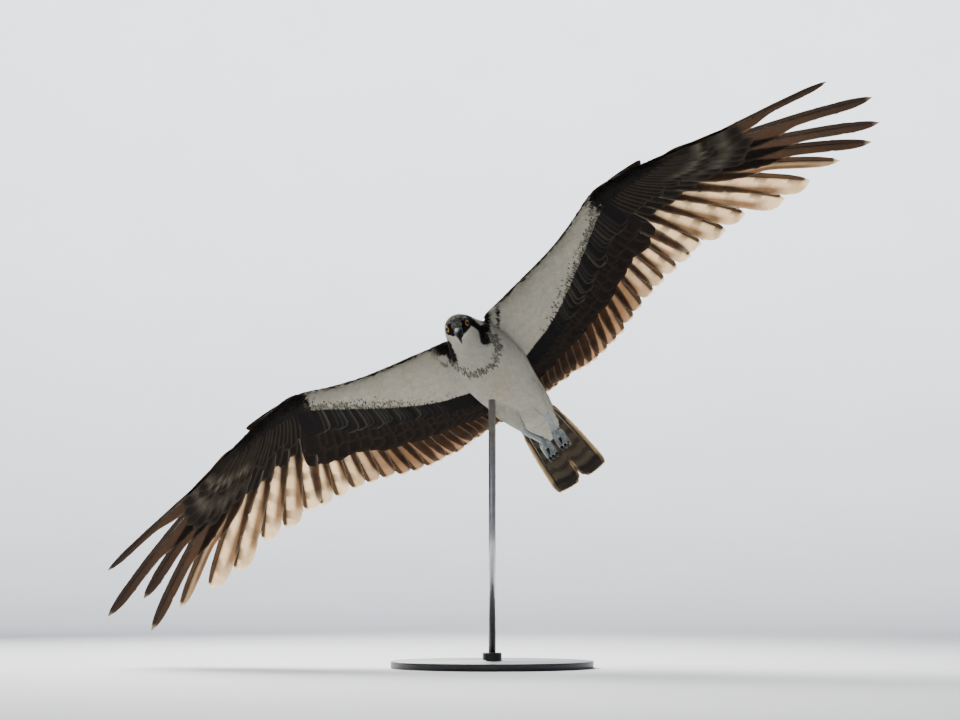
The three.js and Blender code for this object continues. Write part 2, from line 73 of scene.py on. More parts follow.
def bird_matrix():
    """The bird's frame, in millimetres, in the part's frame, in metres."""
    heading, tilt, yaw = (math.radians(a) for a in (HEADING_DEG, VIEW_TILT_DEG, VIEW_YAW_DEG))
    side = np.array([0, 1.0, 0])
    ahead = np.array([math.cos(tilt), 0, math.sin(tilt)])
    below = np.cross(side, ahead)
    near = below * math.cos(yaw) + side * math.sin(yaw)
    left = side * math.cos(yaw) - below * math.sin(yaw)
    right = ahead * math.cos(heading) + left * math.sin(heading)
    up = ahead * math.sin(heading) - left * math.cos(heading)
    turn = np.array(view_axes()).T @ np.array([right, up, near])
    aim = turn @ np.array(ROD_AIM)
    matrix = np.eye(4)
    matrix[:3, :3] = turn * 0.001
    matrix[:3, 3] = np.array([-aim[0], -aim[1], BIRD_HEIGHT]) * 0.001
    return matrix


BIRD = bird_matrix()
UNBIRD = np.linalg.inv(BIRD)
TURN = BIRD[:3, :3] * 1000


def to_part(points):
    return points @ BIRD[:3, :3].T + BIRD[:3, 3]


def to_bird(points):
    return points @ UNBIRD[:3, :3].T + UNBIRD[:3, 3]


# Curves and small helpers


def through(keys):
    """A smooth function through [position, value] keys."""
    xs, ys = np.array(keys, float).T
    slopes = np.empty(len(xs))
    for i in range(len(xs)):
        a, b = max(i - 1, 0), min(i + 1, len(xs) - 1)
        slopes[i] = (ys[b] - ys[a]) / (xs[b] - xs[a])

    def value(x):
        x = np.clip(np.asarray(x, float), xs[0], xs[-1])
        i = np.clip(np.searchsorted(xs, x, side="right") - 1, 0, len(xs) - 2)
        h = xs[i + 1] - xs[i]
        t = (x - xs[i]) / h
        u = 1 - t
        ends = ys[i] * (1 + 2 * t) * u * u + ys[i + 1] * (3 - 2 * t) * t * t
        return ends + h * t * u * (slopes[i] * u - slopes[i + 1] * t)

    return value


def step(a, b, x):
    """0 on a's side, 1 on b's side and smooth between them."""
    t = np.clip((np.asarray(x, float) - a) / (b - a), 0, 1)
    return t * t * (3 - 2 * t)


def mix(a, b, k):
    k = np.asarray(k, float)[..., None]
    return np.asarray(a, float) * (1 - k) + np.asarray(b, float) * k


def ripple(points, size, seed=0):
    """Soft noise from -1 to 1 over points, of about that grain."""
    rng = np.random.default_rng(seed)
    total = np.zeros(points.shape[:-1])
    for _ in range(6):
        direction = unit(rng.normal(size=points.shape[-1]))
        wave = points @ direction * (2 * math.pi / size) * rng.uniform(0.6, 1.6)
        total += np.sin(wave + rng.uniform(0, 6.3))
    return total / 3.2


# Meshes and materials


def grid_faces(rows, columns, closed=False):
    """Quads over a grid of points, closed when its last column meets its first."""
    index = np.arange(rows * columns).reshape(rows, columns)
    here, beside = (index, np.roll(index, -1, 1)) if closed else (index[:, :-1], index[:, 1:])
    return np.stack([here[:-1], here[1:], beside[1:], beside[:-1]], -1).reshape(-1, 4)


def rings_round(line, side, up, wide, high, turn):
    """Rings of points round a line, so wide along side and so high along up."""
    return (line[:, None] + side[:, None] * (wide * np.cos(turn))[..., None]
            + up[:, None] * (high * np.sin(turn))[..., None])


def make_object(name, points, faces, tint=None, uv=None, vane=None, normals=None):
    """A mesh object from points in the part's frame and faces of one size, with its colours."""
    faces = np.asarray(faces, np.int32)
    size = faces.shape[1]
    mesh = bpy.data.meshes.new(name)
    mesh.vertices.add(len(points))
    mesh.vertices.foreach_set("co", np.asarray(points, np.float32).ravel())
    mesh.loops.add(faces.size)
    mesh.loops.foreach_set("vertex_index", faces.ravel())
    mesh.polygons.add(len(faces))
    mesh.polygons.foreach_set("loop_start", np.arange(len(faces), dtype=np.int32) * size)
    mesh.polygons.foreach_set("use_smooth", np.full(len(faces), True))
    mesh.update(calc_edges=True)
    for layer, values, width in (("tint", tint, 4), ("vane", vane, 3)):
        if values is None:
            continue
        kind = "FLOAT_COLOR" if width == 4 else "FLOAT_VECTOR"
        key = "color" if width == 4 else "vector"
        full = np.ones((len(points), width), np.float32)
        full[:, : values.shape[1]] = values
        mesh.attributes.new(layer, kind, "POINT").data.foreach_set(key, full.ravel())
    if uv is not None:
        layer = mesh.uv_layers.new(name="OFBake")
        layer.data.foreach_set("uv", np.asarray(uv, np.float32)[faces.ravel()].ravel())
    mesh.validate()
    if normals is not None:
        mesh.normals_split_custom_set_from_vertices(np.asarray(normals, np.float32))
    obj = bpy.data.objects.new(name, mesh)
    bpy.context.scene.collection.objects.link(obj)
    return obj


def dress(obj, material, slot, nodes=()):
    obj.data.materials.clear()
    obj.data.materials.append(material)
    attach(obj, "root")
    if nodes:
        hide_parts(*nodes)
    return obj


class Nodes:
    """A short hand for a material's node tree."""

    def __init__(self, name):
        self.material = bpy.data.materials.new(name)
        self.material.use_nodes = True
        self.tree = self.material.node_tree
        self.tree.nodes.clear()
        self.output = self.tree.nodes.new("ShaderNodeOutputMaterial")

    def add(self, kind, inputs=None, **settings):
        node = self.tree.nodes.new("ShaderNode" + kind)
        for key, value in settings.items():
            setattr(node, key, value)
        for key, value in (inputs or {}).items():
            if isinstance(value, bpy.types.NodeSocket):
                self.tree.links.new(value, node.inputs[key])
            else:
                node.inputs[key].default_value = value
        return node

    def noise(self, scale, **inputs):
        coords = self.add("TexCoord").outputs["Object"]
        return self.add("TexNoise", {"Vector": coords, "Scale": scale, **inputs}).outputs["Fac"]

    def ramp(self, factor, stops):
        node = self.add("ValToRGB", {"Fac": factor})
        elements = node.color_ramp.elements
        while len(elements) < len(stops):
            elements.new(0.5)
        for element, (place, color) in zip(elements, stops):
            element.position = place
            element.color = (*color, 1)
        return node.outputs["Color"]

    def blend(self, factor, a, b, kind="MIX"):
        node = self.add("MixRGB", {"Fac": factor, "Color1": a, "Color2": b}, blend_type=kind)
        return node.outputs["Color"]

    def bump(self, height, strength, distance):
        node = self.add("Bump", {"Height": height, "Strength": strength, "Distance": distance})
        return node.outputs["Normal"]

    def finish(self, shader):
        self.tree.links.new(shader.outputs[0], self.output.inputs["Surface"])
        return self.material


def feather_material(name, glow, roughness):
    """Feathers coloured by their tint, with fine barbs, that let a share of the light through."""
    n = Nodes(name)
    tint = n.add("Attribute", attribute_name="tint").outputs["Color"]
    vane = n.add("Attribute", attribute_name="vane").outputs["Vector"]
    stretch = n.add("Mapping", {"Vector": vane, "Scale": (130, 5, 0)}).outputs["Vector"]
    barbs = n.add("TexNoise", {"Vector": stretch, "Scale": 1.0, "Detail": 2.0}).outputs["Fac"]
    blot = n.noise(90.0, Detail=3.0)
    fine = n.ramp(barbs, [(0.3, (0.68, 0.68, 0.68)), (0.7, (1.0, 1.0, 1.0))])
    broad = n.ramp(blot, [(0.3, (0.88, 0.87, 0.85)), (0.7, (1.0, 1.0, 1.0))])
    color = n.blend(1.0, n.blend(1.0, tint, fine, "MULTIPLY"), broad, "MULTIPLY")
    warm = n.blend(1.0, color, (1.0, 0.80, 0.58, 1), "MULTIPLY")
    lit = n.add("Gamma", {"Color": warm, "Gamma": 0.85}).outputs["Color"]
    normal = n.bump(barbs, 0.35, 0.0004)
    surface = n.add("BsdfPrincipled", {"Base Color": color, "Roughness": roughness, "Normal": normal,
                                       "Specular IOR Level": 0.08})
    through_light = n.add("BsdfTranslucent", {"Color": lit, "Normal": normal})
    both = n.add("MixShader", {"Fac": glow})
    n.tree.links.new(surface.outputs[0], both.inputs[1])
    n.tree.links.new(through_light.outputs[0], both.inputs[2])
    return n.finish(both)


# Colours, as light values

WHITE = (0.62, 0.60, 0.51)
BUFF = (0.55, 0.44, 0.27)
DARK = (0.011, 0.009, 0.009)
BROWN = (0.056, 0.035, 0.023)
UMBER = (0.025, 0.017, 0.012)
CREAM = (0.60, 0.49, 0.34)
RUFOUS = (0.15, 0.062, 0.026)
# RIM: pale edges, tips and shaft bases; at the flight feathers' ends partly a painted glow
RIM = (0.78, 0.70, 0.56)
OLIVE = (0.060, 0.048, 0.032)

# Wing, in terms of the left one

wing_leading = through([[30, 132], [73, 137], [176, 142], [238, 158], [288, 182], [312, 190], [355, 186],
                        [436, 173], [470, 166]])
flesh_trailing = through([[30, -16], [60, -6], [150, 20], [238, 76], [310, 132], [355, 146], [436, 155],
                          [470, 160]])
flesh_depth = through([[30, 36], [73, 34], [150, 28], [238, 22], [310, 18], [355, 15], [436, 12], [470, 7]])
hand_sink = through([[310, 0], [436, -2.5], [470, -3]])
span_height = through([[0, 24], [73, 33], [176, 56], [310, 74], [436, 68], [555, 50], [680, 30], [785, 8]])
trailing_x = through([[40, -78], [75, -80], [103, -84], [135, -92], [170, -95], [214, -92], [264, -76],
                      [320, -63], [381, -52]])
WING_INCIDENCE = 0.08
WING_CAMBER = 12
SHINGLE_SLOPE = 0.13
PRIMARY_TIPS = [[-41, 408], [-42, 455], [-31, 498], [-39, 568], [-31, 620], [-26, 680], [-22, 741],
                [5, 769], [58, 780], [133, 729]]
SHORT_PRIMARY = (8, [36, 716])
FIRST_FINGER = 6
PRIMARY_STACK = -0.55
SECONDARIES = 18
secondary_root_y = through([[1, 302], [5, 248], [10, 186], [14, 134], [18, 68]])
secondary_tip_y = through([[1, 381], [5, 264], [9, 170], [13, 103], [18, 40]])

full_vane = through([[0, 0.1], [0.12, 0.55], [0.35, 0.96], [0.8, 1], [0.93, 0.84], [0.98, 0.5], [1, 0.03]])
finger_vane = through([[0, 0.1], [0.15, 0.6], [0.38, 1], [0.53, 0.84], [0.64, 0.5], [0.88, 0.42],
                       [0.96, 0.26], [1, 0.02]])
narrow_vane = through([[0, 0.3], [0.2, 1], [0.85, 0.92], [0.96, 0.55], [1, 0.03]])


def wing_height(x, y):
    return span_height(y) + WING_INCIDENCE * (x - 100) - WING_CAMBER * ((x - 60) / 130) ** 2


def hand_root(number):
    y = 314 + 13.2 * (number - 1)
    return np.array([flesh_trailing(y) * 0.66 + wing_leading(y) * 0.34, y])


def secondary_root(number):
    y = secondary_root_y(number)
    return np.array([flesh_trailing(y) + 12, y])


def secondary_tip(number):
    y = secondary_tip_y(number)
    return np.array([trailing_x(y), y])


# A feather's sheet: how far along its rows of points lie and how far across its columns
FLIGHT_SHEET = (np.concatenate([np.linspace(0, 0.9, 64), np.linspace(0.91, 1, 14)]),
                np.array([-1, -0.97, -0.85, -0.65, -0.4, -0.15, 0, 0.3, 0.65, 0.92, 1.0]))
COVERT_SHEET = (np.concatenate([np.linspace(0, 0.85, 9), np.linspace(0.9, 1, 5)]),
                np.array([-1, -0.6, -0.2, 0, 0.4, 0.8, 1.0]))
RIM_NOTCHES = 3
BARB_SWEEP = 0.35  # barbs lean towards the tip, so each edge lies further along than the shaft
SHAFT_STRIDE = 3  # rows of the vane to one ring of its shaft
SHAFT_POINTS = 7


class Vanes:
    """Gathers feathers into one mesh: vane sheets with a grid of rows and columns, and shafts."""

    def __init__(self):
        self.points, self.faces, self.tints, self.vanes, self.strips = [], [], [], [], []
        self.count = 0

    def grid(self, points, tint, vane, strip):
        rows, cols = points.shape[:2]
        self.points.append(points.reshape(-1, 3))
        self.faces.append(grid_faces(rows, cols) + self.count)
        self.tints.append(tint.reshape(-1, 3))
        self.vanes.append(vane.reshape(-1, 3))
        self.strips.append(np.full(rows * cols, strip, float))
        self.count += rows * cols

    def feather(self, root, tip, height, outer, inner, paint, *, bow=0, roll=SHINGLE_SLOPE,
                sheet=FLIGHT_SHEET, shaft=0, cup=0.02, seed=0):
        """One feather. outer and inner are each vane's width and its curve from root to tip."""
        rng = np.random.default_rng(seed)
        rows, cols = sheet
        root, tip = np.asarray(root, float), np.asarray(tip, float)
        way = unit(tip - root)
        middle = (root + tip) / 2 + bow * np.array([way[1], -way[0]])
        t = rows[:, None]
        line = (1 - t) ** 2 * root + 2 * t * (1 - t) * middle + t**2 * tip
        along = unit(2 * (1 - t) * (middle - root) + 2 * t * (tip - middle))
        lead = np.stack([along[:, 1], -along[:, 0]], -1)
        u = cols[None, :]
        fray = 1 + 0.012 * np.sin(t * 31 + rng.uniform(0, 6)) + 0.008 * np.sin(t * 83 + rng.uniform(0, 6))
        for place in rng.uniform(0.35, 0.97, RIM_NOTCHES):
            notch = np.exp(-(((t - place) / 0.006) ** 2))
            fray = fray - 0.10 * notch * np.sign(u + 0.01) * rng.choice([-1, 1])
        wide = np.where(u > 0, outer[0] * outer[1](t), inner[0] * inner[1](t))
        wide = wide * np.where(np.abs(u) > 0.9, fray, 1)
        shift = u * wide
        sweep = np.abs(shift) * BARB_SWEEP * step(0, 0.1, t) * (1 - t)
        flat = line[:, None] + lead[:, None] * shift[..., None] + along[:, None] * sweep[..., None]
        z = height(flat[..., 0], flat[..., 1], t) + roll * shift - cup * np.abs(shift) ** 1.3
        points = np.dstack([flat, z])
        strip = len(self.strips)
        length = np.linalg.norm(tip - root)
        barb = (t * length - 0.9 * np.abs(shift)) * 0.01 + seed * 1.7
        share = np.broadcast_to(t, shift.shape)
        self.grid(points, paint(share, shift, wide), np.dstack([barb, shift * 0.02, share]), strip)
        if shaft:
            self.quill(points[:, list(cols).index(0)], shaft, strip)

    def quill(self, line, radius, strip):
        line = line[::SHAFT_STRIDE]
        t = np.linspace(0, 1, len(line))[:, None]
        turn = np.linspace(0, 2 * math.pi, SHAFT_POINTS)[None, :]
        along = unit(np.gradient(line, axis=0))
        side = unit(np.cross(along, [0, 0, 1.0]))
        r = radius * (1 - 0.85 * t)
        ring = rings_round(line, side, np.cross(side, along), r, r, turn)
        share = np.broadcast_to(t, ring.shape[:2])
        tint = mix(RIM, UMBER, step(0.15, 0.75, share))
        self.grid(ring, tint * 0.7, np.dstack([share] * 3) * [1, 0, 1], strip)

    def build(self, name, mirror=1):
        points, faces = np.concatenate(self.points), np.concatenate(self.faces)
        if mirror < 0:
            points = points * [1, -1, 1]
            faces = faces[:, ::-1]
        strips, vane = np.concatenate(self.strips), np.concatenate(self.vanes)
        places = np.searchsorted(np.unique(strips), strips)
        across = np.clip(0.5 + vane[:, 1], 0.05, 0.95)
        uv = np.stack([(places + across) / (places.max() + 1), 0.01 + 0.98 * np.clip(vane[:, 2], 0, 1)], -1)
        return make_object(name, to_part(points), faces, np.concatenate(self.tints), uv, vane)


def flight_paint(number, primary, side):
    """The colours of a primary or secondary over its length and width."""
    rng = np.random.default_rng(number * 11 + (3 if primary else 5) + (side < 0))
    phase = rng.uniform(0, 6.3)
    finger = step(5, 7.5, number) if primary else 0.0
    pale = 1 - step(4.5, 7, number) if primary else 1 - step(1.5, 5.5, number) * 0.95
    waves = 34 if primary else 27
    shade = rng.uniform(0.8, 1.15)

    def paint(t, shift, wide):
        inner = step(0.3, 3.5, -shift)
        frac = np.abs(shift) / np.maximum(wide, 1e-6)
        wave = np.sin(t * waves + phase + 0.05 * shift + 0.5 * np.sin(shift * 0.5 + number))
        bars = step(0.0, 0.6, wave)
        # painted shade: the far part of the inner web lies over the next feather's dark outer web, and this
        # double layer is painted dark as it shows against the light
        overlap_shade = step(0.42, 0.62, frac + 0.04 * wave) * step(0.93, 0.80, t) * inner
        brown = mix(UMBER, BROWN, 0.7)
        base = mix(brown, RUFOUS, inner * (0.34 - 0.1 * finger) * (1 - 0.6 * bars))
        base = mix(base, CREAM, pale * inner * step(0.2, 0.55, t) * (1 - 0.93 * overlap_shade))
        base = mix(base, brown, pale * inner * bars * (0.30 + 0.5 * step(0.5, 0.15, frac)))
        # painted glow: the light through the ends of the darker, unfingered feathers, painted into their
        # colour
        glow = (1 - pale) * (1 - finger) * inner * step(0.84, 0.98, t + 0.08 * (0.5 - frac))
        base = mix(base, mix(RUFOUS, CREAM, 0.35), glow * 0.5)
        base = mix(base, UMBER, (1 - inner) * (0.75 + 0.25 * bars))
        base = mix(base, DARK, finger * (0.84 + 0.15 * step(0.55, 0.9, t)) * (1 - 0.08 * inner))
        # painted shade: darker towards the root, where the coverts lie over it; then each feather's own
        # random tone
        base = mix(base, DARK, step(0.62, 0.25, t) * 0.8) * shade
        # pale ends and inner-web edges: partly the feathers' own pale fringe, partly a painted glow of the
        # light through the thin edges
        end = step(0.965, 0.985, t) * (1 - 0.9 * finger)
        rim = step(0.95, 1.0, frac) * inner * (0.6 - 0.45 * finger)
        return mix(base, RIM, np.clip(end + rim, 0, 1) * 0.85)

    return paint


COVERT_FRINGE = 0.18  # the fringe's share of each vane


def covert_paint(center, fringe, band=0.0, seed=0):
    """The colours of a covert: its middle, its fringe and how strong its pale band is."""
    rng = np.random.default_rng(seed)
    center = np.array(center) * rng.uniform(0.85, 1.15)

    def paint(t, shift, wide):
        frac = np.abs(shift) / np.maximum(wide, 1e-6)
        edge = np.clip(step(1 - COVERT_FRINGE, 1, frac) + step(0.92, 0.99, t), 0, 1)
        base = np.broadcast_to(center, (*t.shape, 3))
        base = mix(base, mix(WHITE, BUFF, 0.5) * 0.6, band * step(0.60, 0.68, t) * step(0.86, 0.80, t))
        return mix(base, fringe, edge * 0.85)

    return paint


# Widths of the outer and inner vanes
PRIMARY_VANES = (9, 30)
LEADING_PRIMARY_VANES = (6, 21)
SECONDARY_VANES = (10, 23)
COVERT_SHARES = (0.42, 0.58)  # of a covert's width
ALULA_FEATHERS = 3


def flight_feathers(side):
    """The primaries and secondaries of one wing, in terms of the left one."""
    v = Vanes()
    tips = [np.array(tip, float) for tip in PRIMARY_TIPS]
    if side < 0:
        tips[SHORT_PRIMARY[0] - 1] = np.array(SHORT_PRIMARY[1], float)
    for index, tip in enumerate(tips):
        number = index + 1
        finger = number >= FIRST_FINGER
        wide_out, wide_in = LEADING_PRIMARY_VANES if number == len(tips) else PRIMARY_VANES
        lift = 4 + 3 * (number - FIRST_FINGER) if finger else 0
        v.feather(hand_root(number), tip,
                  lambda x, y, t: wing_height(x, y) + PRIMARY_STACK * index + lift * t * t,
                  (wide_out, narrow_vane), (wide_in, finger_vane if finger else full_vane),
                  flight_paint(number, True, side), bow=3 + number * 0.6, shaft=1.5, seed=number)
    for number in range(1, SECONDARIES + 1):
        tip = secondary_tip(number) + RNG.normal(0, 1.2, 2)
        v.feather(secondary_root(number), tip, lambda x, y, t: wing_height(x, y),
                  (SECONDARY_VANES[0], narrow_vane), (SECONDARY_VANES[1], full_vane),
                  flight_paint(number, False, side), bow=4, shaft=1.2, seed=40 + number)
    return v


def hand_place(number):
    """Root, tip and stack height at a place along the hand, which may lie between two primaries."""
    low = int(min(max(number - 1, 0), len(PRIMARY_TIPS) - 2))
    part = max(number - 1 - low, 0)
    tip = np.array(PRIMARY_TIPS[low]) * (1 - part) + np.array(PRIMARY_TIPS[low + 1]) * part
    return hand_root(number), tip, PRIMARY_STACK * (number - 1)


def arm_place(number):
    """The same at a place along the arm."""
    return secondary_root(number), secondary_tip(number), 0


def covert_tiers():
    """Tiers of coverts and the alula of one wing, in terms of the left one."""
    v = Vanes()

    def tier(count, reach, ahead, width, offset, colors, hand=False, band=0.0, uneven=0.04):
        """reach is a share of the flight feathers' length, ahead how far before their roots it starts."""
        numbers = np.linspace(0.4, 10, count) if hand else np.linspace(1, SECONDARIES, count)
        for k, number in enumerate(numbers):
            root, end, stack = hand_place(number) if hand else arm_place(number)
            tip = root + (end - root) * (reach * RNG.uniform(1 - uneven, 1 + uneven))
            center, fringe = colors(number)
            shown = band * step(4.5, 7, number) * RNG.uniform(0.5, 1)
            v.feather(root + [ahead, 0], tip,
                      lambda x, y, t: wing_height(x, y) + stack + offset * rise(t),
                      *((share * width, full_vane) for share in COVERT_SHARES),
                      covert_paint(center, fringe, shown, seed=k), sheet=COVERT_SHEET, roll=0.05, cup=0.008,
                      seed=200 + k)

    def rise(t):
        return 0.55 + 0.45 * np.minimum(4 * t, 1)

    def under(number):
        return mix(DARK, UMBER, 0.35), mix(DARK, BROWN, 0.6)

    def median(number):
        pale = mix(WHITE, CREAM, 0.5) * RNG.uniform(0.3, 0.8)
        return DARK, mix(DARK, pale, RNG.uniform(0.0, 0.22) * step(17, 8, number))

    def under_hand(number):
        return mix(DARK, UMBER, 0.4), mix(UMBER, CREAM, 0.07)

    def upper(number):
        return mix(UMBER, BROWN, 0.6), mix(BROWN, CREAM, 0.14)

    tier(22, 0.52, 14, 30, 3.6, upper)
    tier(30, 0.30, 30, 22, 6.0, upper)
    tier(14, 0.40, 4, 22, 3.2, upper, hand=True)
    tier(18, 0.24, 12, 17, 4.8, upper, hand=True)
    tier(20, 0.60, 14, 40, -4.6, under)
    tier(30, 0.44, 24, 30, -5.8, under, uneven=0.08)
    tier(44, 0.27, 34, 26, -7.0, median, uneven=0.14)
    tier(16, 0.44, 4, 22, -4.2, under_hand, hand=True, band=0.35, uneven=0.08)
    tier(24, 0.29, 12, 17, -5.2, under_hand, hand=True, band=0.5, uneven=0.12)
    for k in range(ALULA_FEATHERS):
        v.feather([178 - 4 * k, 320], [182 - 9 * k, 400 - 14 * k],
                  lambda x, y, t: wing_height(x, y) + 7.5 - 1.2 * k, (4, narrow_vane), (11, full_vane),
                  covert_paint(DARK, BROWN, seed=k), sheet=COVERT_SHEET, shaft=0.7, seed=k)
    return v


# Tail

TAIL_FEATHERS = 6
TAIL_TIP_X = -319
TAIL_MIDDLE_Y = 8
TAIL_STACK = -0.75
TAIL_ROOT_X = -112
TAIL_COVERTS = 6
TAIL_COVERT_REACH = 62
TAIL_COVERT_WIDTH = 6.5


def tail_paint(number):
    """The colours of a tail feather, counted from the middle."""

    def paint(t, shift, wide):
        inner = step(0.3, 3, -shift)
        frac = np.abs(shift) / np.maximum(wide, 1e-6)
        bars = step(-0.1, 0.6, np.sin((t - 0.02) * 40 + 0.05 * shift + 0.4 * np.sin(shift * 0.5)))
        pale = mix(OLIVE, CREAM, 0.03 + 0.09 * inner)
        base = mix(pale, OLIVE, np.clip(bars + (1 - inner) * 0.6, 0, 1))
        base = mix(base, DARK, step(0.80, 0.86, t) * 0.75)
        edge = step(0.975, 0.992, t) * 0.8
        outermost = step(0.85, 1.0, frac) * (1 - inner) * (number == TAIL_FEATHERS) * 0.5
        return mix(base, RIM, np.clip(edge + outermost, 0, 1))

    return paint


def tail_half():
    """The left half of the closed tail, with its upper coverts."""
    v = Vanes()
    for number in range(1, TAIL_FEATHERS + 1):
        out = (number - 1) / (TAIL_FEATHERS - 1)
        tip = [TAIL_TIP_X + 10 * out * out + (8 if number == 1 else 0), 8 + 37.5 * out]
        v.feather([TAIL_ROOT_X, 2 + 27 * out], tip,
                  lambda x, y, t: 7 + TAIL_STACK * (number - 1) - 3 * (y / 50) ** 2,
                  (11.5 - 2 * out, narrow_vane), (8 + 13 * out, full_vane),
                  tail_paint(number), roll=0.07, shaft=1.2, seed=70 + number)
    for k in range(TAIL_COVERTS):
        out = (k + 0.5) / TAIL_COVERTS
        tip = [TAIL_ROOT_X - TAIL_COVERT_REACH * (1 - 0.25 * out * out), 2 + 35 * out]
        v.feather([TAIL_ROOT_X, 1 + 30 * out], tip, lambda x, y, t: 11.5 - 0.5 * k,
                  (TAIL_COVERT_WIDTH, narrow_vane), (TAIL_COVERT_WIDTH, full_vane),
                  covert_paint(BROWN, mix(BROWN, CREAM, 0.4), seed=k), roll=0, sheet=COVERT_SHEET,
                  seed=90 + k)
    return v


# Lofted limbs


def loft(stations, sides, rings):
    """A closed tube through stations of [x, y, z, half width, half height]."""
    stations = np.array(stations, float)
    keys = np.arange(len(stations))
    k = np.linspace(0, len(stations) - 1, rings + 1)
    x, y, z, wide, high = (through(list(zip(keys, column)))(k) for column in stations.T)
    line = np.stack([x, y, z], -1)
    along = unit(np.gradient(line, axis=0))
    up = unit(np.cross(along, (0, 1, 0)))
    side = unit(np.cross(up, along))
    ring = rings_round(line, side, up, wide[:, None], high[:, None], np.arange(sides) * 2 * math.pi / sides)
    points = np.concatenate([ring.reshape(-1, 3), line[:1], line[-1:]])
    quads = grid_faces(rings + 1, sides, closed=True).reshape(rings, sides, 4)
    tube = np.stack([quads[..., [0, 3, 2]], quads[..., [0, 2, 1]]], 1).reshape(-1, 3)
    i = np.arange(sides)
    j = (i + 1) % sides
    last = rings * sides
    start = np.stack([np.full(sides, last + sides), j, i], -1)
    end = np.stack([np.full(sides, last + sides + 1), last + i, last + j], -1)
    return points, np.concatenate([tube, start, end])


def wing_flesh(side):
    """The closed flesh of one wing, from inside the trunk to past the wrist."""
    sides, stations = 24, np.linspace(34, 468, 60)
    turn = np.arange(sides) * 2 * math.pi / sides
    front, back = wing_leading(stations)[:, None], flesh_trailing(stations)[:, None]
    x = (front + back) / 2 + (front - back) / 2 * np.cos(turn)
    y = np.broadcast_to(stations[:, None], x.shape)
    half = flesh_depth(stations)[:, None] / 2 * (1 + 0.3 * np.cos(turn))
    z = wing_height(x, y) + hand_sink(stations)[:, None] + half * np.sin(turn)
    points = np.dstack([x, y * side, z]).reshape(-1, 3)
    quads = grid_faces(len(stations), sides, closed=True)
    first, last = np.arange(sides), np.arange(sides) + (len(stations) - 1) * sides
    caps = [[first[0], first[k], first[k + 1]] for k in range(1, sides - 1)]
    caps += [[last[0], last[k + 1], last[k]] for k in range(1, sides - 1)]
    faces = np.concatenate([quads[:, [0, 2, 3]], quads[:, [0, 1, 2]], caps])
    return points, (faces if side > 0 else faces[:, ::-1])


# Head's frame

HEAD_PLACE = (187.3, -4.7, -10.5)
HEAD_FORWARD = (0.55, -0.058, -0.833)
HEAD_UP = (0.811, 0.273, 0.517)
EYE_RADIUS = 6.8
EYE_PLACE = (4, 13.2, 0)
EYE_OUTWARD = (0.42, 0.9, 0.05)


def head_matrix():
    forward = unit(HEAD_FORWARD)
    left = unit(np.cross(HEAD_UP, forward))
    matrix = np.eye(4)
    matrix[:3, :3] = np.stack([forward, left, np.cross(forward, left)], -1)
    matrix[:3, 3] = HEAD_PLACE
    return matrix


HEAD = head_matrix()


def from_head(points):
    return points @ HEAD[:3, :3].T + HEAD[:3, 3]


def to_head(points):
    return (points - HEAD[:3, 3]) @ HEAD[:3, :3]


# Skin

FLESH_NODES = ("torso", "neck", "head", "thigh_left", "thigh_right")
SKIN_VOXEL = 0.0018
SKIN_SHADE = 0.8  # of the small feathers' tint
COAT_DEPTH = 2.2  # of the body's feathers over the skin
TAIL_FLESH = [[-112, 7, 6, 33, 10], [-134, 8, 5, 33, 9], [-160, 8, 4, 28, 6.5], [-184, 8, 4, 20, 4]]


def mesh_arrays(mesh):
    points = np.empty(len(mesh.vertices) * 3)
    mesh.vertices.foreach_get("co", points)
    mesh.calc_loop_triangles()
    faces = np.empty(len(mesh.loop_triangles) * 3, np.int32)
    mesh.loop_triangles.foreach_get("vertices", faces)
    return points.reshape(-1, 3), faces.reshape(-1, 3)


def normals_of(points, faces):
    """The normal at each point, weighted by the size of the faces round it."""
    corner = points[faces]
    face = np.cross(corner[:, 1] - corner[:, 0], corner[:, 2] - corner[:, 0])
    total = np.zeros_like(points)
    for k in range(3):
        np.add.at(total, faces[:, k], face)
    return total / np.maximum(np.linalg.norm(total, axis=1, keepdims=True), 1e-12)


def relax(points, faces, rounds):
    """The points moved half way towards the middle of their neighbours, that many times."""
    edges = np.concatenate([faces[:, [0, 1]], faces[:, [1, 2]], faces[:, [2, 0]]])
    count = np.bincount(edges.ravel(), minlength=len(points)).astype(float)[:, None]
    for _ in range(rounds):
        total = np.zeros_like(points)
        np.add.at(total, edges[:, 0], points[edges[:, 1]])
        np.add.at(total, edges[:, 1], points[edges[:, 0]])
        points = points + 0.5 * (total / np.maximum(count, 1) - points)
    return points


def joined(parts):
    """Several meshes' points and faces as one."""
    starts = np.cumsum([0] + [len(points) for points, _ in parts])
    faces = [np.asarray(faces) + start for (_, faces), start in zip(parts, starts)]
    return np.concatenate([points for points, _ in parts]), np.concatenate(faces)


def remeshed(name, parts, voxel):
    """One closed surface round several closed ones."""
    rough = make_object(name + "_rough", *joined(parts))
    modifier = rough.modifiers.new("whole", "REMESH")
    modifier.mode = "VOXEL"
    modifier.voxel_size = voxel
    graph = bpy.context.evaluated_depsgraph_get()
    whole = bpy.data.meshes.new_from_object(rough.evaluated_get(graph))
    arrays = mesh_arrays(whole)
    bpy.data.objects.remove(rough)
    bpy.data.meshes.remove(whole)
    return arrays


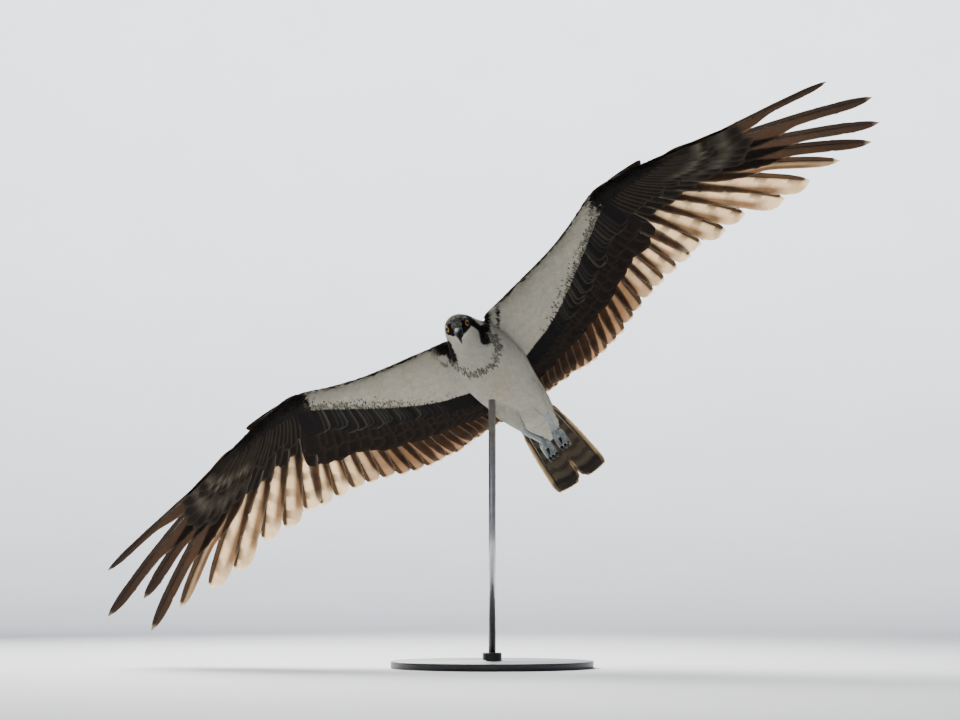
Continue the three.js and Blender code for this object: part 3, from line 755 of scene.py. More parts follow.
def skin_surface():
    """The skin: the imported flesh, both wings' flesh and the tail's root, sunk by the coat's depth."""
    parts = []
    for node in FLESH_NODES:
        points, faces = mesh_arrays(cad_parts[node].data)
        parts.append((points + normals_of(points, faces) * 0.0005, faces))
    for side in (1, -1):
        points, faces = wing_flesh(side)
        parts.append((to_part(points), faces))
    points, faces = loft(TAIL_FLESH, 20, 8)
    parts.append((to_part(points), faces))
    points, faces = remeshed("skin", parts, SKIN_VOXEL)
    points = relax(points, faces, 4)
    bird = to_bird(points)
    face_like = 1 - step(40, 60, np.linalg.norm(to_head(bird), axis=1))
    on_wing = step(70, 110, np.abs(bird[:, 1]))
    depth = COAT_DEPTH * (1 - 0.62 * face_like) * (1 - 0.35 * on_wing)
    return points - normals_of(points, faces) * depth[:, None] * 0.001, faces


# Markings: the colour at a place of the bird, with its normal, in the bird's frame

# Neck and breast marks, as strokes [from across, up, to across, up, half width] in the front view

NECK_DARK = [[-37, 118, -39, 104, 7], [-39, 104, -40, 90, 9], [-40, 90, -37, 74, 8], [-58, 102, -42, 90, 5.5],
             [-18, 124, -17, 100, 2.6], [-116, 62, -98, 63, 10], [-98, 63, -88, 46, 8.5],
             [-121, 52, -101, 33, 2]]
NECK_WHITE = [[-49, 104, -43, 99, 2.8], [-112, 47, -103, 43, 2.5]]
NECKLACE = [[-27, 80, -18, 66, 7], [-18, 66, -22, 40, 6], [-22, 40, -36, 26, 5.5], [-36, 26, -60, 20, 5.5],
            [-60, 20, -82, 34, 5], [-82, 34, -96, 42, 4]]
LORES = (0.06, 0.072, 0.082)


def in_front_view(points):
    """Millimetres across and up the front view, from the bird's origin."""
    right, up, _ = view_axes()
    turned = points @ TURN.T
    return np.stack([turned @ right, turned @ up], -1)


def stroked(places, strokes, soft=1.5):
    """1 inside any of the strokes, fading to 0 past their edges."""
    most = np.zeros(len(places))
    for *ends, radius in strokes:
        a, b = np.array(ends[:2]), np.array(ends[2:])
        t = np.clip((places - a) @ (b - a) / ((b - a) @ (b - a)), 0, 1)
        gap = np.linalg.norm(places - a - t[:, None] * (b - a), axis=1) - radius
        most = np.maximum(most, 1 - step(-soft, soft, gap))
    return most


def neck_bands(places):
    """1 on the dark sides of the neck, at places of the front view."""
    return stroked(places, NECK_DARK) * (1 - stroked(places, NECK_WHITE))


def markings(points, normals):
    """The body's tint and how streaky it is, for skin and small feathers alike."""
    x, y, z = points.T
    n_up = normals[:, 2]
    mottle = ripple(points, 9, 1)
    places = in_front_view(points) + 1.5 * np.stack([ripple(points, 7, 11), ripple(points, 7, 12)], -1)
    faces_view = step(-0.2, 0.1, normals @ (view_axes()[2] @ TURN))
    warm = np.exp(-(((x - 62) / 40) ** 2 + ((y + 8) / 26) ** 2)) * (z < 0)
    body = mix(WHITE, BUFF, 0.45 * warm * (1 + 0.5 * mottle) + 0.10 * step(0, 1, ripple(points, 30, 13)))
    back = step(0.0, 0.3, n_up + 0.10 * mottle - 0.2 * step(80, 40, np.abs(y)))
    body = mix(body, mix(UMBER, BROWN, 0.5), back * (1 - step(150, 175, x)))
    far_side = step(98, 106, x) * (1 - step(0.2, 0.3, faces_view)) * step(-0.4, 0, n_up)
    dark = neck_bands(places) * faces_view * (x > 80)
    body = mix(body, DARK, np.clip(dark + far_side, 0, 1))
    streak = stroked(places, NECKLACE, 4) * faces_view * (x > 70) * 0.9
    return body, np.clip(streak, 0, 1)


# The rear edge of the white lining, as a share of the chord
white_rear = through([[60, -0.1], [140, 0.14], [200, 0.30], [250, 0.48], [290, 0.66]])


def wing_markings(points, normals):
    """The wing's tint and how spotted it is: white lining, dark hand and rear, brown upper side."""
    x, y = points[:, 0], np.abs(points[:, 1])
    front, back = wing_leading(y), flesh_trailing(y)
    f = (x - back) / np.maximum(front - back, 1)
    mottle = ripple(points, 8, 2)
    hand = step(282, 300, y + 0.35 * (x - 150) + 7 * mottle)
    under = mix(WHITE, BUFF, np.clip(0.22 + 0.15 * ripple(points, 25, 14), 0, 1))
    white_edge = white_rear(y)
    dark = step(white_edge + 0.06, white_edge - 0.04, f + 0.06 * mottle) * step(60, 90, y)
    under = mix(under, DARK, np.maximum(hand, 0.93 * dark))
    upper = mix(BROWN, UMBER, 0.6 + 0.3 * mottle)
    top = step(-0.22, -0.02, normals[:, 2] + 0.05 * mottle)
    rows = step(white_edge + 0.38, white_edge, f + 0.05 * mottle) * step(60, 120, y)
    shoulder = np.exp(-(((y - 250) / 34) ** 2)) * (1 - step(0.4, 0.75, f)) * 0.5
    spots = np.clip(rows + shoulder, 0, 1) * 0.85 * (1 - hand) * (1 - top)
    return mix(under, upper, top), spots


def head_markings(points):
    """White cheeks and throat under a dark cap, with a dark band from the bill through the eye."""
    h = to_head(points)
    x, y, z = h[:, 0], np.abs(h[:, 1]), h[:, 2]
    mottle = ripple(points, 5, 3)
    face = np.broadcast_to(np.array(WHITE), points.shape).copy()
    crown = step(5.5, 8.5, z + 1.2 * mottle)
    mask = step(-10, -7, z + 0.25 * x + 1.5 * mottle) * (1 - step(6, 10, z)) * step(5, 7.5, y)
    lores = step(9, 13, x) * step(-14, -10, z) * 0.8
    neck = neck_bands(in_front_view(points)) * (1 - step(-5, 3, x))
    fleck = np.exp(-(((y - 3.4 - 0.8 * mottle) / 1.2) ** 2)) * step(9, 13, x) * step(1, 4, z) * 0.5
    face = mix(face, DARK, np.clip(crown, 0, 1) * 0.97)
    face = mix(face, WHITE, fleck)
    face = mix(face, DARK, neck)
    face = mix(face, DARK, np.clip(mask, 0, 1))
    face = mix(face, LORES, np.clip(lores * (1 - mask), 0, 1))
    streak = 0.02 + 0.1 * (1 - step(3, 6, y)) * step(0, 6, x)
    return face, streak * step(0, 8, z)


def colour_of(points, normals):
    """Tint and streak chance everywhere, choosing between head, wing and body."""
    body, body_streak = markings(points, normals)
    wing, wing_spots = wing_markings(points, normals)
    head, head_streak = head_markings(points)
    on_wing = step(60, 82, np.abs(points[:, 1] - 2) + 0.25 * np.maximum(points[:, 2], 0))
    on_head = 1 - step(44, 54, np.linalg.norm(to_head(points) + [8, 0, 0], axis=1))
    tint = mix(mix(body, wing, on_wing), head, on_head)
    chance = (body_streak * (1 - on_wing) + wing_spots * on_wing) * (1 - on_head) + head_streak * on_head
    return tint, chance, on_wing, on_head


# Small feathers over the skin


NEIGHBOURS = list(itertools.product((-1, 0, 1), repeat=3))


def scattered(points, faces, spacing_of, seed):
    """Places on the surface about as far apart as spacing_of says, in millimetres."""
    rng = np.random.default_rng(seed)
    corner = points[faces]
    area = np.linalg.norm(np.cross(corner[:, 1] - corner[:, 0], corner[:, 2] - corner[:, 0]), axis=1) / 2
    spacing = spacing_of(to_bird(corner.mean(1)))
    count = rng.poisson(area * 1e6 / spacing**2 * 3.2)
    face = np.repeat(np.arange(len(faces)), count)
    a, b = np.sqrt(rng.random(len(face))), rng.random(len(face))
    weight = np.stack([1 - a, a * (1 - b), a * b], -1)
    place = (points[faces[face]] * weight[..., None]).sum(1)
    gap = spacing[face] * 0.001
    cell = np.floor(place / (spacing.max() * 0.001)).astype(int)
    kept, cells = [], {}

    def is_clear(i):
        x, y, z = cell[i]
        for dx, dy, dz in NEIGHBOURS:
            for other, other_gap in cells.get((x + dx, y + dy, z + dz), ()):
                d = place[i] - other
                if d @ d < min(gap[i] * 0.72, other_gap * 0.9) ** 2:
                    return False
        return True

    for i in rng.permutation(len(face)):
        if is_clear(i):
            kept.append(i)
            cells.setdefault(tuple(cell[i]), []).append((place[i], gap[i]))
    return place[kept], face[kept], weight[kept]


# A small feather's grid: four rows of five points, the last row drawn out to a ragged end
TUFT_ALONG = np.array([0, 0.32, 0.62, 1.0])
TUFT_ACROSS = np.array([-1, -0.5, 0, 0.5, 1.0])
TUFT_WIDTH = np.array([0.4, 0.92, 0.95, 0.5])
TUFT_END = np.array([-0.25, -0.07, 0.05, -0.06, -0.27])
TUFT_ROWS, TUFT_COLUMNS = len(TUFT_ALONG), len(TUFT_ACROSS)
TUFT_POINTS = TUFT_ROWS * TUFT_COLUMNS
BODY_SPACING, HEAD_SPACING = 2.5, 1.25
TUFT_LENGTHS, TUFT_WIDTHS = (3.6, 4.6), (1.5, 1.9)  # as shares of the spacing
ROOT_DEPTH = 0.0004
UV_PATCH = 0.003  # of one small feather
PALE = 0.25  # tints above it are white feathers, below it dark ones
PIECE_FEATHERS = 8000  # at most, in one piece of the coat


def tuft_points(root, control, tip, side, width, cup, seed):
    """Small feathers: one grid of points for each root, curved from root to tip."""
    rng = np.random.default_rng(seed)
    n = len(root)
    last = (np.arange(TUFT_ROWS) == TUFT_ROWS - 1)[None, :, None]
    t = TUFT_ALONG[None, :, None] + np.where(last, TUFT_END[None, None, :], 0)
    t = t + rng.normal(0, 0.02, (n, TUFT_ROWS, TUFT_COLUMNS)) * last
    t = np.clip(t, 0, 1.15)[..., None]
    root, control, end = root[:, None, None], control[:, None, None], tip[:, None, None]
    line = (1 - t) ** 2 * root + 2 * t * (1 - t) * control + t**2 * end
    shift = (TUFT_ACROSS[None, None] * TUFT_WIDTH[None, :, None])[..., None] * width[:, None, None, None] / 2
    up = unit(np.cross(end - root, side[:, None, None]))
    sag = (TUFT_ACROSS**2)[None, None, :, None] * cup[:, None, None, None]
    return (line + side[:, None, None] * shift - up * sag).reshape(-1, 3)


def lie_direction(bird, bird_normal, on_wing, on_head):
    """The way the small feathers point: tailwards, on the wing also outwards, on the head from the bill."""
    side = np.sign(bird[:, 1])
    facing = step(0.45, 0.9, bird_normal[:, 0])
    body = np.stack([-np.ones(len(bird)), (0.10 + 2 * facing) * side, np.zeros(len(bird))], -1)
    out = 0.25 + 0.9 * step(250, 420, np.abs(bird[:, 1])) + 2.5 * facing
    wing = np.stack([-np.ones(len(bird)), side * out, np.zeros(len(bird))], -1)
    h = to_head(bird) - [24, 0, -8]
    face = unit(h) @ HEAD[:3, :3].T + np.array([-0.6, 0, 0])
    thigh = np.array([-0.75, 0, -0.2])
    legs = (bird[:, 2] < -33) & (bird[:, 0] < 5)
    way = mix(mix(body, wing, on_wing), face, on_head)
    way[legs] = thigh
    return unit(way)


def tuft_spacing(bird):
    """Millimetres between small feathers: least on the face, most at the wings' rear and the vent."""
    near_head = 1 - step(36, 80, np.linalg.norm(to_head(bird) + [8, 0, 0], axis=1))
    y = np.abs(bird[:, 1])
    chord = np.maximum(wing_leading(y) - flesh_trailing(y), 1)
    rear = 1 - step(0.1, 0.7, (bird[:, 0] - flesh_trailing(y)) / chord)
    vent = step(-95, -125, bird[:, 0])
    body = BODY_SPACING + (0.3 + 1.2 * rear) * step(60, 90, y) + 1.6 * vent
    return body * (1 - near_head) + HEAD_SPACING * near_head


def over_skin(tree, places, lift, scale):
    """The skin's nearest places, raised along its normals."""
    nearest = [tree.find_nearest(place)[:2] for place in places]
    spots, normals = (np.array([found[k] for found in nearest]) for k in (0, 1))
    return spots + normals * lift[:, None] * scale


def tuft_colours(rng, tint, chance, bird_normal, on_head):
    """The small feathers' colours: uneven shades, dark streaks on white ones, pale tips on brown ones."""
    n = len(tint)
    dark = rng.random(n) < chance
    unevenness = np.where(tint.mean(1) > PALE, 1, 5)
    tint = tint * np.clip(1 + rng.normal(0, 0.05, n) * unevenness, 0.4, 1.9)[:, None]
    along, across = np.tile(np.repeat(TUFT_ALONG, TUFT_COLUMNS), n), np.tile(TUFT_ACROSS, TUFT_ROWS * n)
    color = np.repeat(tint, TUFT_POINTS, 0)
    pale = color.mean(1) > PALE
    core = np.repeat(dark, TUFT_POINTS) * step(1.05, 0.4, np.abs(across)) * step(0.1, 0.4, along)
    color = mix(color, np.where(pale[:, None], DARK, mix(WHITE, BUFF, 0.3)), core * np.where(pale, 0.95, 0.6))
    brown = 1 - step(0.02, 0.25, color.mean(1))
    tipped = (0.06 + 0.14 * step(-0.1, 0.5, bird_normal[:, 2])) * (1 - on_head)
    color = mix(color, mix(BROWN, CREAM, 0.5), brown * step(0.6, 1.0, along) * np.repeat(tipped, TUFT_POINTS))
    return color, along, across


def coat(skin_points, skin_faces, skin_uv):
    """All the small feathers, as arrays by point, with the region that each feather belongs to."""
    normals = normals_of(skin_points, skin_faces)
    tree = BVHTree.FromPolygons(skin_points.tolist(), skin_faces.tolist())
    place, face, weight = scattered(skin_points, skin_faces, tuft_spacing, seed=5)
    normal = unit((normals[skin_faces[face]] * weight[..., None]).sum(1))
    uv = (skin_uv[face] * weight[..., None]).sum(1)
    bird, bird_normal = to_bird(place), normal @ TURN
    keep = clear_of_bare_parts(bird)
    every = (place, normal, uv, bird, bird_normal, *colour_of(bird, bird_normal))
    place, normal, uv, bird, bird_normal, tint, chance, on_wing, on_head = (a[keep] for a in every)
    n = len(place)
    rng = np.random.default_rng(9)
    size = tuft_spacing(bird)
    length = size * rng.uniform(*TUFT_LENGTHS, n) * (1 - 0.15 * on_head)
    width = size * rng.uniform(*TUFT_WIDTHS, n)
    way = lie_direction(bird, bird_normal, on_wing, on_head) @ TURN.T + rng.normal(0, 0.07, (n, 3))
    way = unit(way - normal * (way * normal).sum(1, keepdims=True))
    aim = place + way * length[:, None] * 0.001
    lift = (0.5 + 0.5 * (1 - on_head)) * rng.uniform(0.7, 1.3, n)
    tip, middle = over_skin(tree, aim, lift, 0.001), over_skin(tree, (place + aim) / 2, lift, 0.0006)
    root = place - normal * ROOT_DEPTH
    control = 2 * middle - (root + tip) / 2
    side = unit(np.cross(tip - root, normal))
    points = tuft_points(root, control, tip, side, width * 0.001, width * 0.00010, seed=3)
    soft = np.repeat(unit(normal + rng.normal(0, 0.05, (n, 3))), TUFT_POINTS, 0)
    color, along, across = tuft_colours(rng, tint, chance, bird_normal, on_head)
    number = np.repeat(rng.random(n) * 50, TUFT_POINTS)
    vane = np.stack([across * 0.045 * (1 - 0.3 * along) + number, along * 0.3, along], -1)
    root_uv = np.repeat(uv, TUFT_POINTS, 0) + np.stack([across * 0.5, along - 0.5], -1) * UV_PATCH
    wing = np.where(bird[:, 1] > 0, "wing_left", "wing_right")
    group = np.where(on_head > 0.5, "head", np.where(on_wing < 0.5, "body", wing))
    return {"points": points, "color": color, "vane": vane, "uv": root_uv, "group": group, "soft": soft}


def clear_of_bare_parts(bird):
    """True where small feathers grow: not on the eyes, cere or bill."""
    h = to_head(bird)
    keep = np.ones(len(bird), bool)
    for side in (1, -1):
        eye = np.array(EYE_PLACE) * [1, side, 1]
        keep &= np.linalg.norm(h - eye, axis=1) > EYE_RADIUS + 1.2
    keep &= ~((h[:, 0] > 15) & (h[:, 2] > -16) & (np.abs(h[:, 1]) < 10) & (np.abs(h[:, 2] + 8) < 8.5))
    return keep


def coat_pieces(data):
    """Splits the coat into pieces by region, each under the size that a piece may have."""
    quads = grid_faces(TUFT_ROWS, TUFT_COLUMNS)[:, [0, 3, 2, 1]]
    pieces = []
    for group in ("head", "body", "wing_left", "wing_right"):
        chosen = np.flatnonzero(data["group"] == group)
        for k, part in enumerate(np.array_split(chosen, max(1, math.ceil(len(chosen) / PIECE_FEATHERS)))):
            rows = (part[:, None] * TUFT_POINTS + np.arange(TUFT_POINTS)).ravel()
            faces = (np.arange(len(part))[:, None, None] * TUFT_POINTS + quads).reshape(-1, 4)
            layers = (data[key][rows] for key in ("color", "uv", "vane", "soft"))
            pieces.append((make_object(f"coat_{group}_{k + 1}", data["points"][rows], faces, *layers), group))
    return pieces


def skin_object(points, faces):
    """The skin's object, unwrapped and tinted, and where each corner of its faces lies in the UV map."""
    tint, *_ = colour_of(to_bird(points), normals_of(points, faces) @ TURN)
    obj = make_object("skin", points, faces, tint * SKIN_SHADE)
    obj.data.uv_layers.new(name="OFBake")
    bpy.context.view_layer.objects.active = obj
    obj.select_set(True)
    bpy.ops.object.mode_set(mode="EDIT")
    bpy.ops.mesh.select_all(action="SELECT")
    bpy.ops.uv.smart_project(angle_limit=math.radians(66), island_margin=0.004)
    bpy.ops.object.mode_set(mode="OBJECT")
    obj.select_set(False)
    uv = np.empty(len(obj.data.loops) * 2)
    obj.data.uv_layers["OFBake"].data.foreach_get("uv", uv)
    return obj, uv.reshape(-1, 3, 2)


# Build the pieces

WING_VANE = feather_material("flight_feather", 0.5, 0.6)
COVERT_VANE = feather_material("covert_feather", 0.12, 0.75)
DOWN = feather_material("body_feather", 0.10, 0.8)

skin_points, skin_faces = skin_surface()
skin, skin_uv = skin_object(skin_points, skin_faces)
dress(skin, DOWN, "white_plumage", [*FLESH_NODES, "wing_left", "wing_right", "tail"])
for piece, group in coat_pieces(coat(skin_points, skin_faces, skin_uv)):
    dress(piece, DOWN, {"head": "head_plumage", "body": "white_plumage"}.get(group, "wing_plumage"))
for side, word in ((1, "left"), (-1, "right")):
    dress(flight_feathers(side).build(f"flight_{word}", side), WING_VANE, "wing_plumage", [f"wing_{word}"])
    dress(covert_tiers().build(f"coverts_{word}", side), COVERT_VANE, "wing_plumage", [f"wing_{word}"])
    fan = tail_half().build(f"tail_{word}", side)
    fan.data.transform(Matrix.Translation(Vector(TURN @ np.array([0, TAIL_MIDDLE_Y, 0]) * 0.001)))
    dress(fan, WING_VANE, "tail_plumage", ["tail"])


def plain(name, color, roughness, metallic=0.0):
    """A surface of one colour, with fine mottling."""
    n = Nodes(name)
    noise = n.noise(120.0, Detail=4.0)
    dim = tuple(c * 0.8 for c in color)
    shader = n.add("BsdfPrincipled", {"Base Color": n.ramp(noise, [(0.3, dim), (0.7, color)]),
                                      "Roughness": roughness, "Metallic": metallic,
                                      "Normal": n.bump(noise, 0.2, 0.0003)})
    return n.finish(shader)


def painted(name, roughness, coat=0.0, shine=0.4, grain=None, depth=0.0):
    """A surface coloured by its tint, with fine mottling and a grain: scales or plain noise."""
    n = Nodes(name)
    tint = n.add("Attribute", attribute_name="tint").outputs["Color"]
    noise = n.noise(350.0, Detail=5.0)
    soft = n.ramp(noise, [(0.3, (0.82, 0.82, 0.82)), (0.7, (1.0, 1.0, 1.0))])
    color = n.blend(1.0, tint, soft, "MULTIPLY")
    height = noise
    if grain:
        coords = n.add("TexCoord").outputs["Object"]
        cells = n.add("TexVoronoi", {"Vector": coords, "Scale": grain}, feature="DISTANCE_TO_EDGE")
        height = cells.outputs["Distance"]
        edges = n.ramp(height, [(0.0, (0.55, 0.55, 0.55)), (0.12, (1.0, 1.0, 1.0))])
        color = n.blend(1.0, color, edges, "MULTIPLY")
    shader = n.add("BsdfPrincipled", {"Base Color": color, "Roughness": roughness, "Coat Weight": coat,
                                      "Specular IOR Level": shine, "Coat Roughness": 0.03,
                                      "Normal": n.bump(height, 0.5, depth)})
    return n.finish(shader)


# Eyes

PUPIL_DEG, IRIS_DEG = 27, 52
# IRIS: the iris's yellow, painted a deeper, darker orange as shade over the eye
IRIS = (0.42, 0.20, 0.015)
IRIS_EDGE = (0.20, 0.08, 0.012)
PUPIL = (0.004, 0.004, 0.004)
EYE_RIM = (0.02, 0.015, 0.012)
LID = (0.022, 0.024, 0.028)
GAZE = (0.66, 0.75, 0.03)
LID_SIZE = (0.90, 0.9, 1.05)  # the ring's radius in eye radii, its thickness and its stretch


def ball_grid(axis, across, down):
    """Points of a unit ball whose pole lies along axis, with its faces and their angle from it."""
    axis = unit(axis)
    side = unit(np.cross(axis, [0, 0, 1]))
    up = np.cross(side, axis)
    polar = np.linspace(0, math.pi, down + 1)[:, None]
    turn = (np.arange(across) * 2 * math.pi / across)[None, :]
    points = (np.cos(polar)[..., None] * axis + (np.sin(polar) * np.cos(turn))[..., None] * side
              + (np.sin(polar) * np.sin(turn))[..., None] * up)
    angle = np.broadcast_to(np.degrees(polar), (down + 1, across)).ravel()
    return points.reshape(-1, 3), grid_faces(down + 1, across, closed=True), angle


def eye(side, word):
    """An eyeball with a slight bulge where it looks out, with its iris and pupil."""
    axis = np.array(GAZE) * [1, side, 1]
    points, faces, angle = ball_grid(axis, 40, 60)
    centre = np.array(EYE_PLACE) * [1, side, 1]
    bulge = 1 + 0.06 * (1 - step(0, 50, angle))
    tint = mix(IRIS, IRIS_EDGE, step(38, IRIS_DEG, angle))
    tint = mix(tint, PUPIL, 1 - step(PUPIL_DEG - 1, PUPIL_DEG + 1, angle))
    tint = mix(tint, EYE_RIM, step(IRIS_DEG - 1, IRIS_DEG + 2, angle))
    place = to_part(from_head(centre + points * (EYE_RADIUS * bulge)[:, None]))
    dress(make_object(f"eye_{word}", place, faces, tint), EYE, "eye", [f"eye_{word}"])


def ring_tube(centre, axis, radius, thick, stretch, across=48, around=12):
    """A ring of flesh, slightly oval, round an axis."""
    axis = unit(axis)
    side = unit(np.cross(axis, [0, 0, 1]))
    up = np.cross(side, axis)
    turn = (np.arange(across) * 2 * math.pi / across)[:, None]
    roll = (np.arange(around) * 2 * math.pi / around)[None, :]
    out = np.cos(turn)[..., None] * side * stretch + np.sin(turn)[..., None] * up
    tube = out * (thick * np.cos(roll))[..., None]
    points = centre + out * radius + tube + axis * (thick * np.sin(roll))[..., None]
    index = np.arange(across * around).reshape(across, around)
    nxt = np.roll(index, -1, 0)
    quads = np.stack([index, nxt, np.roll(nxt, -1, 1), np.roll(index, -1, 1)], -1).reshape(-1, 4)
    return points.reshape(-1, 3), quads


def lids():
    """A thin dark ring of bare skin round each eye."""
    size, thick, stretch = LID_SIZE
    rings = []
    for side in (1, -1):
        axis = unit((np.array(EYE_OUTWARD) + GAZE) * [1, side, 1])
        centre = np.array(EYE_PLACE) * [1, side, 1] + axis * EYE_RADIUS * 0.5
        rings.append(ring_tube(centre, axis, EYE_RADIUS * size, thick, stretch))
    points, faces = joined(rings)
    obj = make_object("lids", to_part(from_head(points)), faces, np.tile(LID, (len(points), 1)))
    dress(obj, BARE_SKIN, "head_plumage")


# Bill, in the head's frame, with the blue-grey cere over its base

UPPER_BILL = [[7, 0, -6.5, 8.5, 7.3], [16.5, 0, -6, 8.2, 7.3], [25, 0, -7, 6.9, 6.4], [32, 0, -9.3, 5.1, 5.1],
              [37.5, 0, -13.4, 3.3, 3.6], [39.5, 0, -18.5, 1.8, 2], [38.6, 0, -23.4, 0.6, 0.6]]
LOWER_BILL = [[7, 0, -14, 7, 3.2], [16.5, 0, -14.2, 6.4, 3], [25, 0, -14.7, 5, 2.6],
              [30.5, 0, -15.6, 2.7, 1.7]]
NOSTRIL = (22, 6.9, -5)
CERE = (0.17, 0.21, 0.25)
HORN = (0.012, 0.012, 0.015)
NOSTRIL_SHADE = (0.004, 0.004, 0.005)


def bill(stations, name):
    """One half of the bill; the upper one has the cere and the nostrils."""
    points, faces = loft(stations, 40, 56)
    x, y, z = points.T
    cere = (1 - step(24, 26, x + 0.15 * (z + 7))) * (name == "bill_upper")
    tint = mix(HORN, CERE, cere * 0.9)
    ridge = 1 + 0.05 * step(22.5, 25, x) * (1 - step(25, 30, x))
    points = np.stack([x, y * ridge, z], -1)
    pit = np.exp(-(((x - NOSTRIL[0]) / 2.6) ** 2 + ((z - NOSTRIL[2] - 0.4 * (x - NOSTRIL[0])) / 1.1) ** 2))
    pit = pit * (np.abs(y) > 4) * (name == "bill_upper")
    points[:, 1] -= np.sign(y) * pit * 1.6
    # painted shade: the nostril's dent is painted nearly black for the shade inside the opening
    tint = mix(tint, NOSTRIL_SHADE, np.clip(pit * 1.4, 0, 1))
    dress(make_object(name, to_part(from_head(points)), faces, tint), BILL, "bill", [name])


# Legs and feet

LEGS = {"left": {"heel": 27, "foot": 23, "reach": -6}, "right": {"heel": -19, "foot": -5, "reach": 0}}
SOLE = (-118, -51)
TOE_SPREAD = {"one": -6.5, "two": 0, "three": 6.5}
# FOOT_SKIN: the feet's pale blue-grey, painted a darker grey as shade
FOOT_SKIN = (0.30, 0.335, 0.34)
FOOT_PATCH = (0.50, 0.50, 0.45)
CLAW = (0.010, 0.010, 0.012)
FOOT_BALL_RADIUS = 7
FOOT_VOXEL = 0.0007


def toe_paths():
    """Stations of the toes, from the foot's ball, with the outer two spread."""
    paths = {name: [[-2, y * 0.5, 0, 5, 5], [-14, y, 1, 4.4, 4.4], [-25, y * 1.1, -6, 4, 4],
                    [-27, y * 1.1, -15, 3.6, 3.6]] for name, y in TOE_SPREAD.items()}
    paths["back"] = [[2, 0, -3, 4.6, 4.6], [2, 0, -12, 4.2, 4.2], [-1, 0, -19, 3.6, 3.6]]
    return paths


def claw_paths():
    """Stations of the claws, from inside their toes to their points."""
    paths = {name: [[-27.5, y * 1.1, -13, 2.8, 2.8], [-25.5, y * 1.15, -22, 2.3, 2.3],
                    [-19, y * 1.15, -29, 1.4, 1.4], [-11, y * 1.15, -31, 0.25, 0.25]]
             for name, y in TOE_SPREAD.items()}
    paths["back"] = [[-1, 0, -17, 2.8, 2.8], [-4, -1, -24, 2.1, 2.1], [-7, -2, -27.5, 1.1, 1.1],
                     [-9, -2.5, -28.5, 0.25, 0.25]]
    return paths


def leg(word):
    """A bare shank with its foot, and the foot's four claws."""
    way = LEGS[word]
    place = np.array([SOLE[0] - way["reach"], way["foot"], SOLE[1]])
    middle = (way["heel"] + way["foot"]) / 2
    shank = [[-50, way["heel"], -50, 6, 6], [-72, way["heel"], -53, 5.2, 5.4], [-93, middle, -53, 4.8, 5],
             [-114 - way["reach"], way["foot"], -51, 6, 6]]
    parts = [loft(shank, 24, 24)]
    ball, quads, _ = ball_grid([0, 0, 1], 20, 16)
    triangles = np.concatenate([quads[:, [0, 1, 2]], quads[:, [0, 2, 3]]])
    parts.append((ball * FOOT_BALL_RADIUS + place, triangles))
    for path in toe_paths().values():
        points, faces = loft(path, 16, 20)
        parts.append((points + place, faces))
    points, faces = remeshed("foot", [(to_part(p), f) for p, f in parts], FOOT_VOXEL)
    points = relax(points, faces, 3)
    bird = to_bird(points)
    tint = mix(FOOT_SKIN, FOOT_PATCH, step(-0.2, 0.8, ripple(bird, 14, 6)) * 0.5)
    obj = make_object(f"foot_{word}", points, faces, tint)
    dress(obj, SCALES, "foot_skin", [f"shank_{word}", f"foot_{word}"])
    for toe, path in claw_paths().items():
        points, faces = loft(path, 18, 28)
        tint = np.tile(CLAW, (len(points), 1))
        name = f"claw_{word}_{toe}"
        dress(make_object(name, to_part(points + place), faces, tint), BILL, "claw", [name])


EYE = painted("eye", 0.22, coat=0.1, shine=0.12)
BILL = painted("horn", 0.42, shine=0.15, depth=0.0001)
BARE_SKIN = painted("bare_skin", 0.5, depth=0.0002)
SCALES = painted("scales", 0.55, grain=620.0, depth=0.0004)

eye(1, "left")
eye(-1, "right")
lids()
bill(UPPER_BILL, "bill_upper")
bill(LOWER_BILL, "bill_lower")
leg("left")
leg("right")


# Stand

BASE_RADIUS, BASE_THICKNESS = 170, 12
COLLAR_RADIUS, COLLAR_HEIGHT = 16, 14
ROD_RADIUS = 6
AXIS_RADIUS = 0.05  # of the small holes in the middle of flat ends
ROD_CLEARANCE = 0.3
COLLAR_TOP = BASE_THICKNESS + COLLAR_HEIGHT
SOCKET_FLOOR = COLLAR_TOP - 20
ROD_BOTTOM = SOCKET_FLOOR + ROD_CLEARANCE
ROD_TOP = mesh_arrays(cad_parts["stand_rod"].data)[0][:, 2].max() * 1000 + 1


def turned(name, outline, material, slot, sides=96):
    """A piece turned on a lathe from an outline of [radius, height] in millimetres."""
    outline = np.array(outline, float) * 0.001
    turn = (np.arange(sides) * 2 * math.pi / sides)[None, :]
    radius, height = outline[:, :1], outline[:, 1:]
    height = np.broadcast_to(height, (len(outline), sides))
    points = np.dstack([radius * np.cos(turn), radius * np.sin(turn), height]).reshape(-1, 3)
    faces = grid_faces(len(outline), sides, closed=True)[:, [0, 3, 2, 1]]
    dress(make_object(name, points, faces), material, slot, [name])


def rounded(radius, height, edge=1.5, steps=6):
    """An outline's outer corner at a radius and height, rounded over."""
    turn = np.linspace(0, math.pi / 2, steps)
    return [[radius - edge + edge * math.cos(a), height - edge + edge * math.sin(a)] for a in turn]


